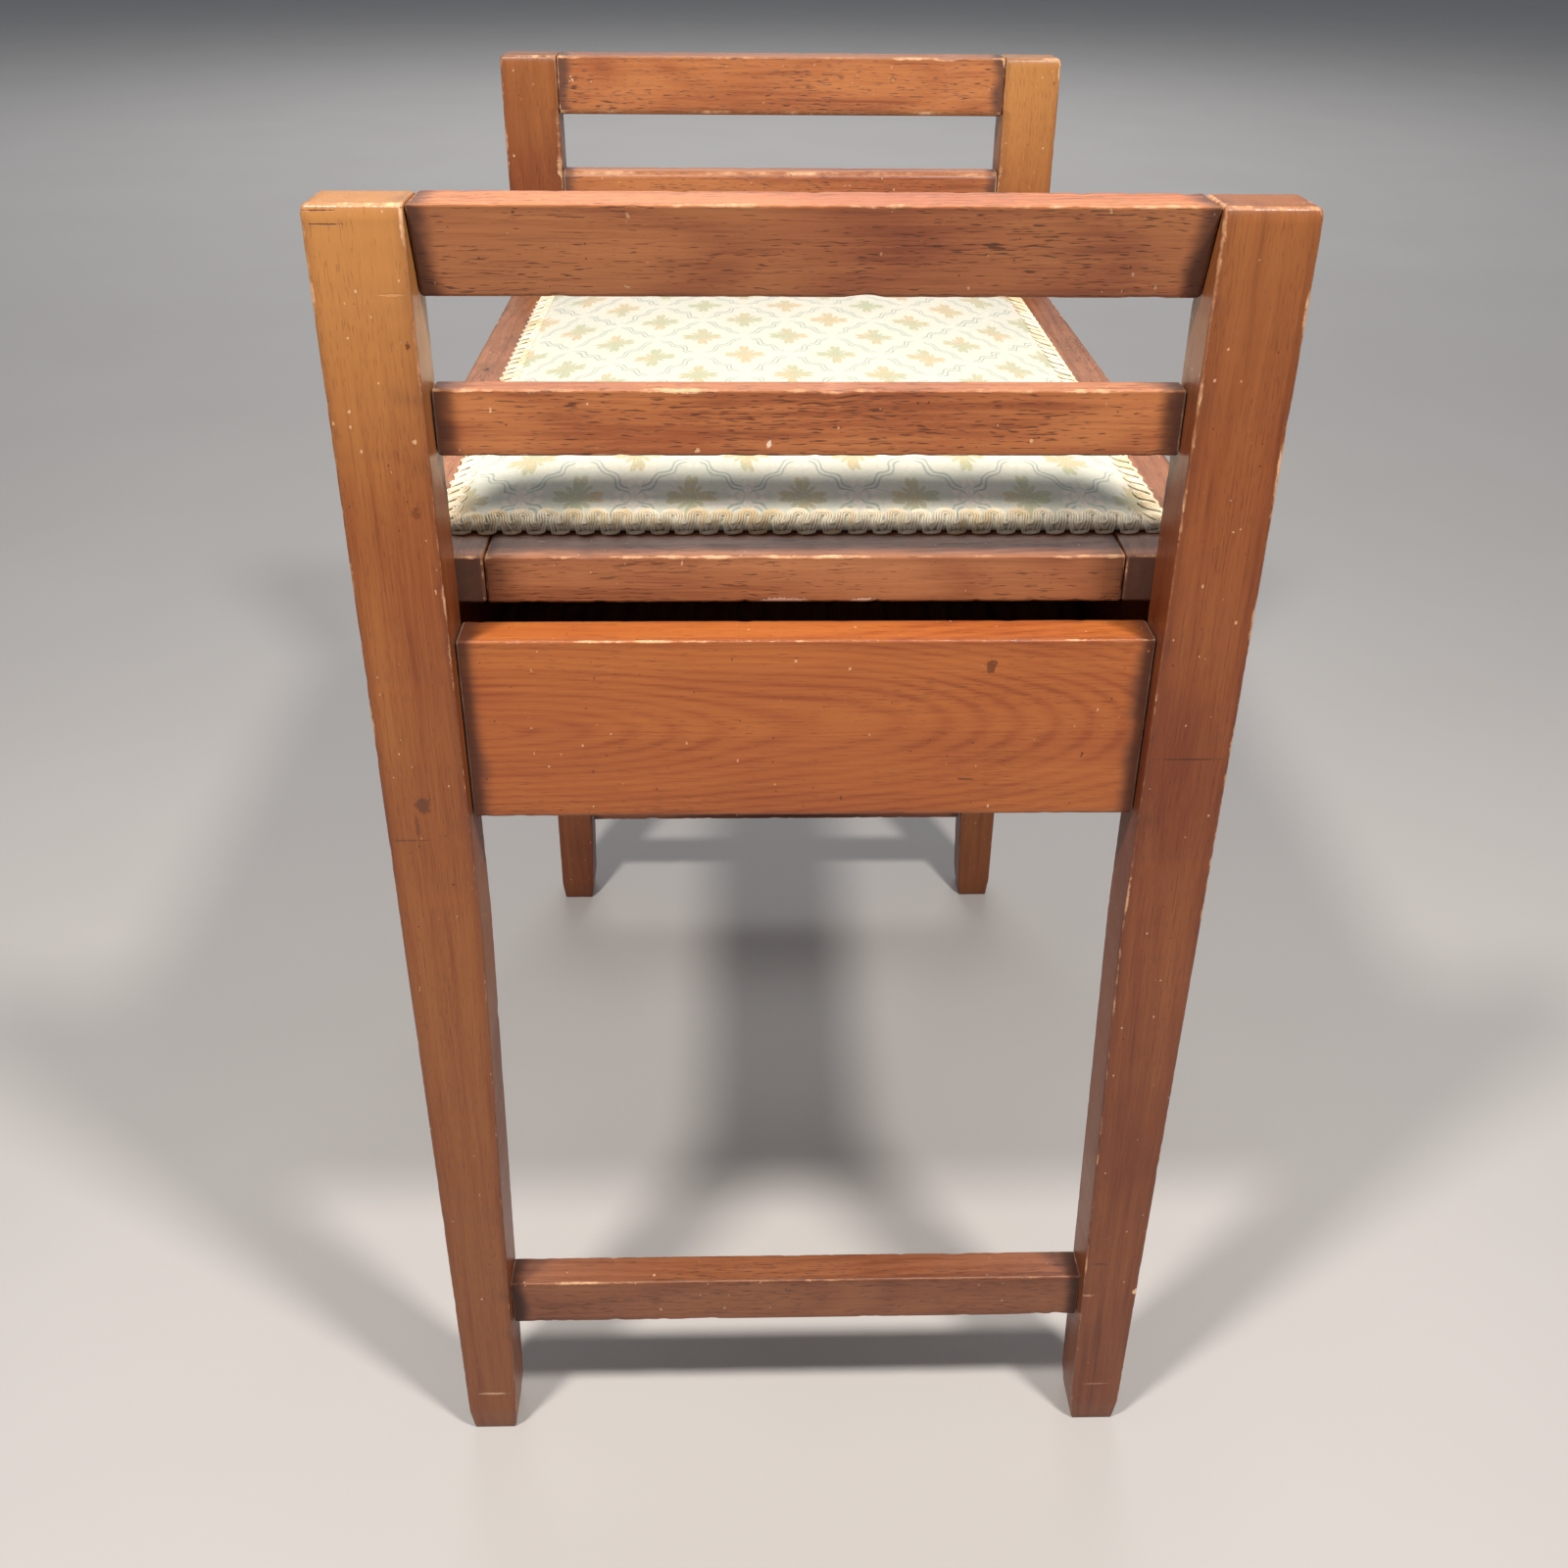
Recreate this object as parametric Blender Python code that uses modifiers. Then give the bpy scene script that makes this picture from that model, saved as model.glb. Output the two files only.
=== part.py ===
# Piano bench with two raised slatted ends and a padded seat that lifts off a shallow music box.
# Metres, +Z up. X runs along the bench, -Y is the front, the origin is on the floor under the middle.

import math

import bmesh
import bpy
from mathutils import Matrix, Vector

# ---- overall ----
BENCH_LENGTH = 0.538
BENCH_DEPTH = 0.352
BENCH_HEIGHT = 0.635

# ---- clearances ----
FIT = 0.0003          # between faces that touch
TENON_END_GAP = 0.001  # glue space past the end of a tenon
CUT_OVER = 0.002      # how far a cutter runs past the face it opens

# ---- posts: the leg and the end upright in one piece ----
POST_WIDTH = 0.035    # across the bench
POST_THICK = 0.028    # along the bench
TAPER_TOP = 0.325
FOOT_WIDTH = 0.0252
TOE_HEIGHT = 0.015
TOE_INSET = 0.0015
ARRIS = 0.0012

# ---- end frames ----
TOP_RAIL_HEIGHT = 0.034
TOP_RAIL_FACE_BACK = 0.0012    # top edge of its outer face, behind the post face
RAIL_THICK = 0.0145
MID_RAIL_TOP = 0.5677
MID_RAIL_HEIGHT = 0.0257
END_APRON_TOP = 0.468
APRON_BOTTOM = 0.386
END_APRON_THICK = 0.020
STRETCHER_TOP = 0.1035
STRETCHER_HEIGHT = 0.0285
STRETCHER_THICK = 0.018
STRETCHER_RECESS = 0.008
TENON_THICK = 0.008
TENON_LENGTH = 0.011
TENON_HAUNCH = 0.006

# ---- long sides of the box ----
LONG_APRON_RECESS = 0.008
LONG_APRON_THICK = 0.018
LONG_TENON_LENGTH = 0.012
APRON_HAUNCH = 0.010
BOTTOM_BOARD_THICK = 0.005
FILLET_SIDE = 0.010
FILLET_RISE = 0.002

# ---- lid ----
LID_BOTTOM = 0.4735
LID_THICK = 0.0205
LID_OVERHANG = 0.001    # past the post faces, front and back
LID_END_CLEARANCE = 0.005
LID_LONG_RAIL_WIDTH = 0.046
LID_END_RAIL_WIDTH = 0.046
LID_TENON_THICK = 0.006
LID_TENON_LENGTH = 0.014
LID_TENON_SHOULDER = 0.006
PANEL_THICK = 0.005
PANEL_REBATE = 0.006

# ---- upholstery ----
PAD_SIDE_MARGIN = 0.023    # bare wood, front and back, under the braid's outer edge too
PAD_END_MARGIN = 0.027
PAD_CORNER_RADIUS = 0.010
PAD_CORNER_SPREAD = 0.8    # how much the corners round out for each unit in from the edge
PAD_CORNER_MOST = 0.9      # of the half width left there
PAD_EDGE_HEIGHT = 0.002
PAD_CROWN = 0.0165
PAD_CROWN_REACH = 0.100
PAD_CROWN_POWER = 2.2
PAD_RINGS = (0.0, 0.06, 0.13, 0.25, 0.42, 0.65, 1.0)    # shares of the crown's reach
COVER_THICK = 0.001
BRAID_THICK = 0.0022
BRAID_LAP = 0.0095      # how far the braid reaches in over the pad
BRAID_FOOT = 0.0024     # how far it spreads out over the wood

# ---- hinges ----
HINGE_SPACING = 0.300
HINGE_LENGTH = 0.040
LEAF_THICK = 0.0012
LEAF_DEPTH = 0.016
BARREL_RADIUS = 0.0027
PIN_RADIUS = 0.0014
PIN_CLEARANCE = 0.0001
KNUCKLES = 5            # odd, so that the frame leaf holds both ends
KNUCKLE_GAP = 0.0002
LEAF_CLEARANCE = 0.0006
SCREW_SPACING = 0.024
SCREW_SETBACK = 0.0095
SCREW_LENGTH = 0.0105
SCREW_HEAD_RADIUS = 0.0026
SCREW_SHANK_RADIUS = 0.0014
SCREW_CLEARANCE = 0.0002

# ---- how finely round shapes are drawn ----
PIN_SEGMENTS = 24
KNUCKLE_STEPS = 16
SCREW_STEPS = 16
SMOOTH_ANGLE = math.radians(50)
MERGE_DISTANCE = 0.00001

# ---- worked out from the above ----
HALF_LENGTH = BENCH_LENGTH / 2
HALF_DEPTH = BENCH_DEPTH / 2
INNER_X = HALF_LENGTH - POST_THICK    # inner faces of the end frames
LONG_APRON_OUT = HALF_DEPTH - LONG_APRON_RECESS
LONG_APRON_IN = LONG_APRON_OUT - LONG_APRON_THICK
LONG_APRON_TOP = LID_BOTTOM - FIT
LID_TOP = LID_BOTTOM + LID_THICK
LID_HALF_X = INNER_X - LID_END_CLEARANCE
LID_HALF_Y = HALF_DEPTH + LID_OVERHANG
PANEL_HALF_X = LID_HALF_X - LID_END_RAIL_WIDTH + PANEL_REBATE
PANEL_HALF_Y = LID_HALF_Y - LID_LONG_RAIL_WIDTH + PANEL_REBATE
PAD_HALF_X = LID_HALF_X - PAD_END_MARGIN
PAD_HALF_Y = LID_HALF_Y - PAD_SIDE_MARGIN
BOARD_BOTTOM = APRON_BOTTOM + FILLET_RISE + FILLET_SIDE + FIT
PIN_Y = LONG_APRON_OUT + FIT + BARREL_RADIUS
PIN_Z = LID_BOTTOM - FIT - BARREL_RADIUS

ENDS = {"left": -1, "right": 1}
SIDES = {"front": -1, "back": 1}


def clear_scene():
    for old in list(bpy.data.objects):
        bpy.data.objects.remove(old, do_unlink=True)


def new_collection(name):
    collection = bpy.data.collections.new(name)
    bpy.context.scene.collection.children.link(collection)
    return collection


def new_material(name, colour, roughness, metallic=0.0):
    material = bpy.data.materials.new(name)
    material.use_nodes = True
    shader = material.node_tree.nodes["Principled BSDF"]
    shader.inputs["Base Color"].default_value = (*colour, 1.0)
    shader.inputs["Roughness"].default_value = roughness
    shader.inputs["Metallic"].default_value = metallic
    return material


clear_scene()
BENCH = new_collection("piano_bench")
CUTTERS = new_collection("cutters")
LID_PIVOT = bpy.data.objects.new("lid_pivot", None)
LID_PIVOT.location = (0.0, PIN_Y, PIN_Z)
BENCH.objects.link(LID_PIVOT)

POST_WOOD = new_material("post_wood", (0.35, 0.13, 0.045), 0.35)
RAIL_WOOD = new_material("rail_wood", (0.30, 0.105, 0.045), 0.38)
APRON_WOOD = new_material("apron_wood", (0.36, 0.14, 0.05), 0.36)
LID_WOOD = new_material("lid_wood", (0.22, 0.10, 0.06), 0.45)
BOARD_WOOD = new_material("board_wood", (0.42, 0.26, 0.13), 0.70)
DAMASK = new_material("damask", (0.80, 0.76, 0.62), 0.85)
STUFFING = new_material("stuffing", (0.72, 0.68, 0.58), 0.95)
GIMP = new_material("gimp", (0.74, 0.62, 0.42), 0.80)
BRASS = new_material("hinge_brass", (0.52, 0.38, 0.16), 0.42, 1.0)
STEEL = new_material("screw_steel", (0.36, 0.34, 0.32), 0.45, 1.0)


def add_object(name, mesh, material=None, place=(0.0, 0.0, 0.0), turn=None, on_lid=False):
    # a piece of the bench; lid pieces hang from the empty on the hinge axis
    piece = bpy.data.objects.new(name, mesh)
    piece.location = Vector(place)
    if turn is not None:
        piece.rotation_euler = turn.to_euler()
    if on_lid:
        piece.parent = LID_PIVOT
        piece.location -= LID_PIVOT.location
    if material is None:
        CUTTERS.objects.link(piece)
        piece.hide_render = True
        piece.display_type = "WIRE"
    else:
        mesh.materials.append(material)
        BENCH.objects.link(piece)
    return piece


def to_mesh(bm, name):
    bmesh.ops.recalc_face_normals(bm, faces=bm.faces)
    mesh = bpy.data.meshes.new(name)
    bm.to_mesh(mesh)
    bm.free()
    return mesh


def box_bmesh(size):
    bm = bmesh.new()
    bmesh.ops.create_cube(bm, size=1.0)
    bmesh.ops.scale(bm, vec=Vector(size), verts=bm.verts)
    return bm


def box(name, low, high, material=None, on_lid=False):
    low, high = Vector(low), Vector(high)
    mesh = to_mesh(box_bmesh(high - low), name)
    return add_object(name, mesh, material, (low + high) / 2, on_lid=on_lid)


def soften(piece, width=ARRIS, segments=2):
    bevel = piece.modifiers.new("arris", "BEVEL")
    bevel.width = width
    bevel.segments = segments
    bevel.limit_method = "ANGLE"


def combine(piece, other, operation):
    boolean = piece.modifiers.new(operation.lower() + "_" + other.name, "BOOLEAN")
    boolean.operation = operation
    boolean.solver = "EXACT"
    boolean.object = other


def leg_width(z):
    if z >= TAPER_TOP:
        return POST_WIDTH
    return FOOT_WIDTH + (POST_WIDTH - FOOT_WIDTH) * z / TAPER_TOP


# Rails between the posts of one end: the tenon's place behind the post face and its height.
def end_joints():
    rail_middle = POST_THICK - RAIL_THICK / 2
    apron_middle = POST_THICK - END_APRON_THICK / 2
    stretcher_middle = STRETCHER_RECESS + STRETCHER_THICK / 2
    top_rail_bottom = BENCH_HEIGHT - TOP_RAIL_HEIGHT
    mid_rail_bottom = MID_RAIL_TOP - MID_RAIL_HEIGHT
    stretcher_bottom = STRETCHER_TOP - STRETCHER_HEIGHT
    return {
        "top_rail": (rail_middle, top_rail_bottom + TENON_HAUNCH, BENCH_HEIGHT - TENON_HAUNCH),
        "mid_rail": (rail_middle, mid_rail_bottom + TENON_HAUNCH, MID_RAIL_TOP - TENON_HAUNCH),
        "end_apron": (apron_middle, APRON_BOTTOM + APRON_HAUNCH, END_APRON_TOP - APRON_HAUNCH),
        "stretcher": (stretcher_middle, stretcher_bottom + TENON_HAUNCH, STRETCHER_TOP - TENON_HAUNCH),
    }


def end_tenon(name, end, joint, grow=0.0, grow_length=0.0):
    # one bar through both posts' mortises; grow makes it the cutter for them
    back, low, high = joint
    middle_x = end * (HALF_LENGTH - back)
    shoulder = HALF_DEPTH - leg_width((low + high) / 2)
    reach = shoulder + TENON_LENGTH + grow_length
    half = TENON_THICK / 2 + grow
    return box(name, (middle_x - half, -reach, low - grow), (middle_x + half, reach, high + grow))


def long_tenon(name, side, grow=0.0, grow_length=0.0):
    middle_y = side * (LONG_APRON_OUT + LONG_APRON_IN) / 2
    reach = INNER_X + LONG_TENON_LENGTH + grow_length
    half = TENON_THICK / 2 + grow
    low = APRON_BOTTOM + APRON_HAUNCH - grow
    high = END_APRON_TOP - APRON_HAUNCH + grow
    return box(name, (-reach, middle_y - half, low), (reach, middle_y + half, high))


def make_post(name, end, side, mortises):
    bm = box_bmesh((POST_THICK, POST_WIDTH, BENCH_HEIGHT))
    bmesh.ops.translate(bm, vec=(0.0, 0.0, BENCH_HEIGHT / 2), verts=bm.verts)
    for height in (TAPER_TOP, TOE_HEIGHT):
        geometry = bm.verts[:] + bm.edges[:] + bm.faces[:]
        bmesh.ops.bisect_plane(bm, geom=geometry, plane_co=(0.0, 0.0, height), plane_no=(0.0, 0.0, 1.0))
    for vert in bm.verts:
        if vert.co.y * side < 0:
            vert.co.y = side * (POST_WIDTH / 2 - leg_width(vert.co.z))
    toe_middle = side * (POST_WIDTH - FOOT_WIDTH) / 2
    for vert in bm.verts:
        if vert.co.z < TOE_HEIGHT / 2:
            vert.co.x -= math.copysign(TOE_INSET, vert.co.x)
            vert.co.y -= math.copysign(TOE_INSET, vert.co.y - toe_middle)
    place = (end * (HALF_LENGTH - POST_THICK / 2), side * (HALF_DEPTH - POST_WIDTH / 2), 0.0)
    post = add_object(name, to_mesh(bm, name), POST_WOOD, place)
    soften(post)
    for cutter in mortises:
        combine(post, cutter, "DIFFERENCE")
    return post


def make_end_rail(kind, end_name, joint, section, material, low, high, face_top=None):
    # section is (outer face, inner face) behind the post face; face_top slants the outer face
    end = ENDS[end_name]
    name = kind + "_" + end_name
    outer, inner = section
    bm = box_bmesh((inner - outer, BENCH_DEPTH, high - low))
    for vert in bm.verts:
        outer_side = vert.co.x * end > 0
        top_side = vert.co.z > 0
        z = high if top_side else low
        back = outer if outer_side else inner
        if outer_side and top_side and face_top is not None:
            back = face_top
        shoulder = HALF_DEPTH - leg_width(z) - FIT
        vert.co = (end * (HALF_LENGTH - back), math.copysign(shoulder, vert.co.y), z)
    rail = add_object(name, to_mesh(bm, name), material)
    soften(rail)
    combine(rail, end_tenon(name + "_tenon", end, joint), "UNION")
    return rail


def make_ends():
    joints = end_joints()
    long_mortises = {}
    for side_name, side in SIDES.items():
        long_mortises[side] = long_tenon(side_name + "_apron_mortise", side, FIT, TENON_END_GAP)
    for end_name, end in ENDS.items():
        mortises = []
        for kind, joint in joints.items():
            cutter = end_tenon(kind + "_" + end_name + "_mortise", end, joint, FIT, TENON_END_GAP)
            mortises.append(cutter)
        for side_name, side in SIDES.items():
            name = "post_" + side_name + "_" + end_name
            make_post(name, end, side, mortises + [long_mortises[side]])
        rail_section = (POST_THICK - RAIL_THICK, POST_THICK)
        top_rail_bottom = BENCH_HEIGHT - TOP_RAIL_HEIGHT
        make_end_rail("top_rail", end_name, joints["top_rail"], rail_section, RAIL_WOOD,
                      top_rail_bottom, BENCH_HEIGHT, TOP_RAIL_FACE_BACK)
        make_end_rail("mid_rail", end_name, joints["mid_rail"], rail_section, RAIL_WOOD,
                      MID_RAIL_TOP - MID_RAIL_HEIGHT, MID_RAIL_TOP)
        apron_section = (POST_THICK - END_APRON_THICK, POST_THICK)
        make_end_rail("end_apron", end_name, joints["end_apron"], apron_section, APRON_WOOD,
                      APRON_BOTTOM, END_APRON_TOP)
        stretcher_section = (STRETCHER_RECESS, STRETCHER_RECESS + STRETCHER_THICK)
        make_end_rail("stretcher", end_name, joints["stretcher"], stretcher_section, RAIL_WOOD,
                      STRETCHER_TOP - STRETCHER_HEIGHT, STRETCHER_TOP)


def make_long_apron(side_name):
    side = SIDES[side_name]
    near, far = sorted((side * LONG_APRON_IN, side * LONG_APRON_OUT))
    reach = INNER_X - FIT
    apron = box(side_name + "_apron", (-reach, near, APRON_BOTTOM), (reach, far, LONG_APRON_TOP), APRON_WOOD)
    soften(apron)
    combine(apron, long_tenon(side_name + "_apron_tenon", side), "UNION")
    return apron


def make_box_bottom():
    reach_x = INNER_X - FIT
    reach_y = LONG_APRON_IN - FIT
    low = APRON_BOTTOM + FILLET_RISE
    high = low + FILLET_SIDE
    for side_name, side in SIDES.items():
        near, far = sorted((side * (reach_y - FILLET_SIDE), side * reach_y))
        box("bottom_fillet_" + side_name, (-reach_x, near, low), (reach_x, far, high), BOARD_WOOD)
    end_reach = reach_y - FILLET_SIDE - FIT
    for end_name, end in ENDS.items():
        near, far = sorted((end * (reach_x - FILLET_SIDE), end * reach_x))
        box("bottom_fillet_" + end_name, (near, -end_reach, low), (far, end_reach, high), BOARD_WOOD)
    board_top = BOARD_BOTTOM + BOTTOM_BOARD_THICK
    box("bottom_board", (-reach_x, -reach_y, BOARD_BOTTOM), (reach_x, reach_y, board_top), BOARD_WOOD)


def lid_tenon(name, end, grow=0.0, grow_length=0.0):
    middle_z = LID_BOTTOM + (LID_THICK - PANEL_THICK) / 2
    inner = LID_HALF_X - LID_END_RAIL_WIDTH + LID_TENON_SHOULDER - grow
    outer = LID_HALF_X - LID_TENON_SHOULDER + grow
    near, far = sorted((end * inner, end * outer))
    reach = LID_HALF_Y - LID_LONG_RAIL_WIDTH + LID_TENON_LENGTH + grow_length
    half = LID_TENON_THICK / 2 + grow
    return box(name, (near, -reach, middle_z - half), (far, reach, middle_z + half))


def make_lid_frame():
    rebate = box("panel_rebate", (-PANEL_HALF_X - FIT, -PANEL_HALF_Y - FIT, LID_TOP - PANEL_THICK - FIT),
                 (PANEL_HALF_X + FIT, PANEL_HALF_Y + FIT, LID_TOP + CUT_OVER))
    mortises = []
    for end_name, end in ENDS.items():
        mortises.append(lid_tenon("lid_" + end_name + "_mortise", end, FIT, TENON_END_GAP))
    rails = {}
    for side_name, side in SIDES.items():
        near, far = sorted((side * (LID_HALF_Y - LID_LONG_RAIL_WIDTH), side * LID_HALF_Y))
        rail = box("lid_" + side_name + "_rail", (-LID_HALF_X, near, LID_BOTTOM), (LID_HALF_X, far, LID_TOP),
                   LID_WOOD, on_lid=True)
        soften(rail)
        for cutter in mortises + [rebate]:
            combine(rail, cutter, "DIFFERENCE")
        rails[side_name] = rail
    reach = LID_HALF_Y - LID_LONG_RAIL_WIDTH - FIT
    for end_name, end in ENDS.items():
        near, far = sorted((end * (LID_HALF_X - LID_END_RAIL_WIDTH), end * LID_HALF_X))
        name = "lid_" + end_name + "_rail"
        rail = box(name, (near, -reach, LID_BOTTOM), (far, reach, LID_TOP), LID_WOOD, on_lid=True)
        soften(rail)
        combine(rail, lid_tenon(name + "_tenon", end), "UNION")
        combine(rail, rebate, "DIFFERENCE")
    box("lid_panel", (-PANEL_HALF_X, -PANEL_HALF_Y, LID_TOP - PANEL_THICK),
        (PANEL_HALF_X, PANEL_HALF_Y, LID_TOP), BOARD_WOOD, on_lid=True)
    return rails


def pad_height(inset):
    # height of the stuffing above the lid at a distance in from its edge
    rest = 1.0 - min(max(inset, 0.0) / PAD_CROWN_REACH, 1.0)
    return PAD_EDGE_HEIGHT + PAD_CROWN * (1.0 - rest ** PAD_CROWN_POWER)


def pad_loop(bm, inset, height, corner_steps=4, side_steps=3):
    # a rounded rectangle of vertices, the same count at every inset
    half_x = PAD_HALF_X - inset
    half_y = PAD_HALF_Y - inset
    spread = PAD_CORNER_RADIUS + max(inset, 0.0) * PAD_CORNER_SPREAD
    radius = min(spread, PAD_CORNER_MOST * min(half_x, half_y))
    corners = []
    for sign_x, sign_y, start in ((1, 1, 0), (-1, 1, 90), (-1, -1, 180), (1, -1, 270)):
        centre = Vector((sign_x * (half_x - radius), sign_y * (half_y - radius)))
        arc = []
        for step in range(corner_steps + 1):
            angle = math.radians(start + 90 * step / corner_steps)
            arc.append(centre + radius * Vector((math.cos(angle), math.sin(angle))))
        corners.append(arc)
    verts = []
    for index, arc in enumerate(corners):
        following = corners[(index + 1) % 4][0]
        for point in arc:
            verts.append(bm.verts.new((point.x, point.y, height)))
        for step in range(1, side_steps):
            point = arc[-1].lerp(following, step / side_steps)
            verts.append(bm.verts.new((point.x, point.y, height)))
    edges = []
    for index, vert in enumerate(verts):
        edges.append(bm.edges.new((vert, verts[(index + 1) % len(verts)])))
    return edges


def loft(name, profile, material, form):
    # profile is a list of (inset, height above the lid); form is solid, skin (open below) or ring
    bm = bmesh.new()
    loops = []
    for inset, height in profile:
        loops.append(pad_loop(bm, inset, height))
    for lower, upper in zip(loops, loops[1:]):
        bmesh.ops.bridge_loops(bm, edges=lower + upper)
    if form == "solid":
        bmesh.ops.contextual_create(bm, geom=loops[0])
    if form == "ring":
        bmesh.ops.bridge_loops(bm, edges=loops[-1] + loops[0])
    else:
        bmesh.ops.contextual_create(bm, geom=loops[-1])
    piece = add_object(name, to_mesh(bm, name), material, (0.0, 0.0, LID_TOP), on_lid=True)
    piece.data.shade_smooth()
    piece.data.set_sharp_from_angle(angle=SMOOTH_ANGLE)
    return piece


def make_upholstery():
    insets = [share * PAD_CROWN_REACH for share in PAD_RINGS]
    stuffing = [(0.0, FIT)]
    for inset in insets:
        stuffing.append((inset, pad_height(inset)))
    loft("seat_padding", stuffing, STUFFING, "solid")
    skin = [(-FIT, FIT)]
    for inset in insets:
        skin.append((inset - FIT * (1.0 - inset / PAD_CROWN_REACH), pad_height(inset) + FIT))
    cover = loft("seat_cover", skin, DAMASK, "skin")
    cloth = cover.modifiers.new("cloth", "SOLIDIFY")
    cloth.thickness = COVER_THICK
    cloth.offset = 1.0
    over = FIT + COVER_THICK + FIT
    under_side = [(-over - BRAID_FOOT, FIT), (-over, FIT)]
    top_side = [(-over - BRAID_FOOT, FIT + BRAID_THICK)]
    for inset in (0.0, insets[1], BRAID_LAP):
        out = inset - over * (1.0 - inset / PAD_CROWN_REACH)
        under_side.append((out, pad_height(inset) + over))
        top_side.append((out, pad_height(inset) + over + BRAID_THICK))
    braid = under_side + list(reversed(top_side))
    loft("gimp_braid", braid, GIMP, "ring")


def turned(name, profile, steps, material=None, place=(0.0, 0.0, 0.0), turn=None, on_lid=False):
    # profile of (radius, height) from the top of the axis round to its bottom
    bm = bmesh.new()
    verts = [bm.verts.new((radius, 0.0, height)) for radius, height in profile]
    for start, finish in zip(verts, verts[1:]):
        bm.edges.new((start, finish))
    mesh = bpy.data.meshes.new(name)
    bm.to_mesh(mesh)
    bm.free()
    piece = add_object(name, mesh, material, place, turn, on_lid)
    screw = piece.modifiers.new("turn", "SCREW")
    screw.steps = steps
    screw.render_steps = steps
    screw.use_merge_vertices = True
    screw.merge_threshold = MERGE_DISTANCE
    screw.use_smooth_shade = True
    return piece


def screw_profile(grow=0.0, over=0.0):
    profile = [(0.0, over), (SCREW_HEAD_RADIUS + grow, over)]
    if over > 0.0:
        profile.append((SCREW_HEAD_RADIUS + grow, 0.0))
    profile.append((SCREW_SHANK_RADIUS + grow, -LEAF_THICK))
    profile.append((SCREW_SHANK_RADIUS + grow, -SCREW_LENGTH - grow))
    profile.append((0.0, -SCREW_LENGTH - grow))
    return profile


def knuckle(name, start, finish, place, turn):
    # a tube round the pin with the tangent tab that joins it to the leaf
    bm = bmesh.new()
    inner = BARREL_RADIUS - LEAF_THICK
    tab_end = BARREL_RADIUS + LEAF_CLEARANCE + LEAF_THICK
    outline = [(tab_end, inner), (tab_end, BARREL_RADIUS)]
    first = math.pi / 2
    last = 2 * math.pi + math.asin(inner / BARREL_RADIUS)
    for step in range(KNUCKLE_STEPS + 1):
        angle = first + (last - first) * step / KNUCKLE_STEPS
        outline.append((BARREL_RADIUS * math.cos(angle), BARREL_RADIUS * math.sin(angle)))
    verts = [bm.verts.new((start, along, up)) for along, up in outline]
    face = bm.faces.new(verts)
    grown = bmesh.ops.extrude_face_region(bm, geom=[face])
    moved = [item for item in grown["geom"] if isinstance(item, bmesh.types.BMVert)]
    bmesh.ops.translate(bm, vec=(finish - start, 0.0, 0.0), verts=moved)
    return add_object(name, to_mesh(bm, name), None, place, turn)


def make_leaf(name, place, turn, own, pin_hole, screw_holes, on_lid):
    bm = box_bmesh((HINGE_LENGTH, LEAF_DEPTH - BARREL_RADIUS - LEAF_CLEARANCE, LEAF_THICK))
    middle = (LEAF_DEPTH + BARREL_RADIUS + LEAF_CLEARANCE) / 2
    bmesh.ops.translate(bm, vec=(0.0, middle, BARREL_RADIUS - LEAF_THICK / 2), verts=bm.verts)
    leaf = add_object(name, to_mesh(bm, name), BRASS, place, turn, on_lid)
    pitch = HINGE_LENGTH / KNUCKLES
    for index in own:
        start = -HINGE_LENGTH / 2 + index * pitch + KNUCKLE_GAP / 2
        tube = knuckle(name + "_knuckle_" + str(index), start, start + pitch - KNUCKLE_GAP, place, turn)
        combine(leaf, tube, "UNION")
    combine(leaf, pin_hole, "DIFFERENCE")
    for hole in screw_holes:
        combine(leaf, hole, "DIFFERENCE")


def along_x(radius, length):
    bm = bmesh.new()
    bmesh.ops.create_cone(bm, cap_ends=True, segments=PIN_SEGMENTS, radius1=radius, radius2=radius,
                          depth=length, matrix=Matrix.Rotation(math.pi / 2, 4, "Y"))
    return bm


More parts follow.
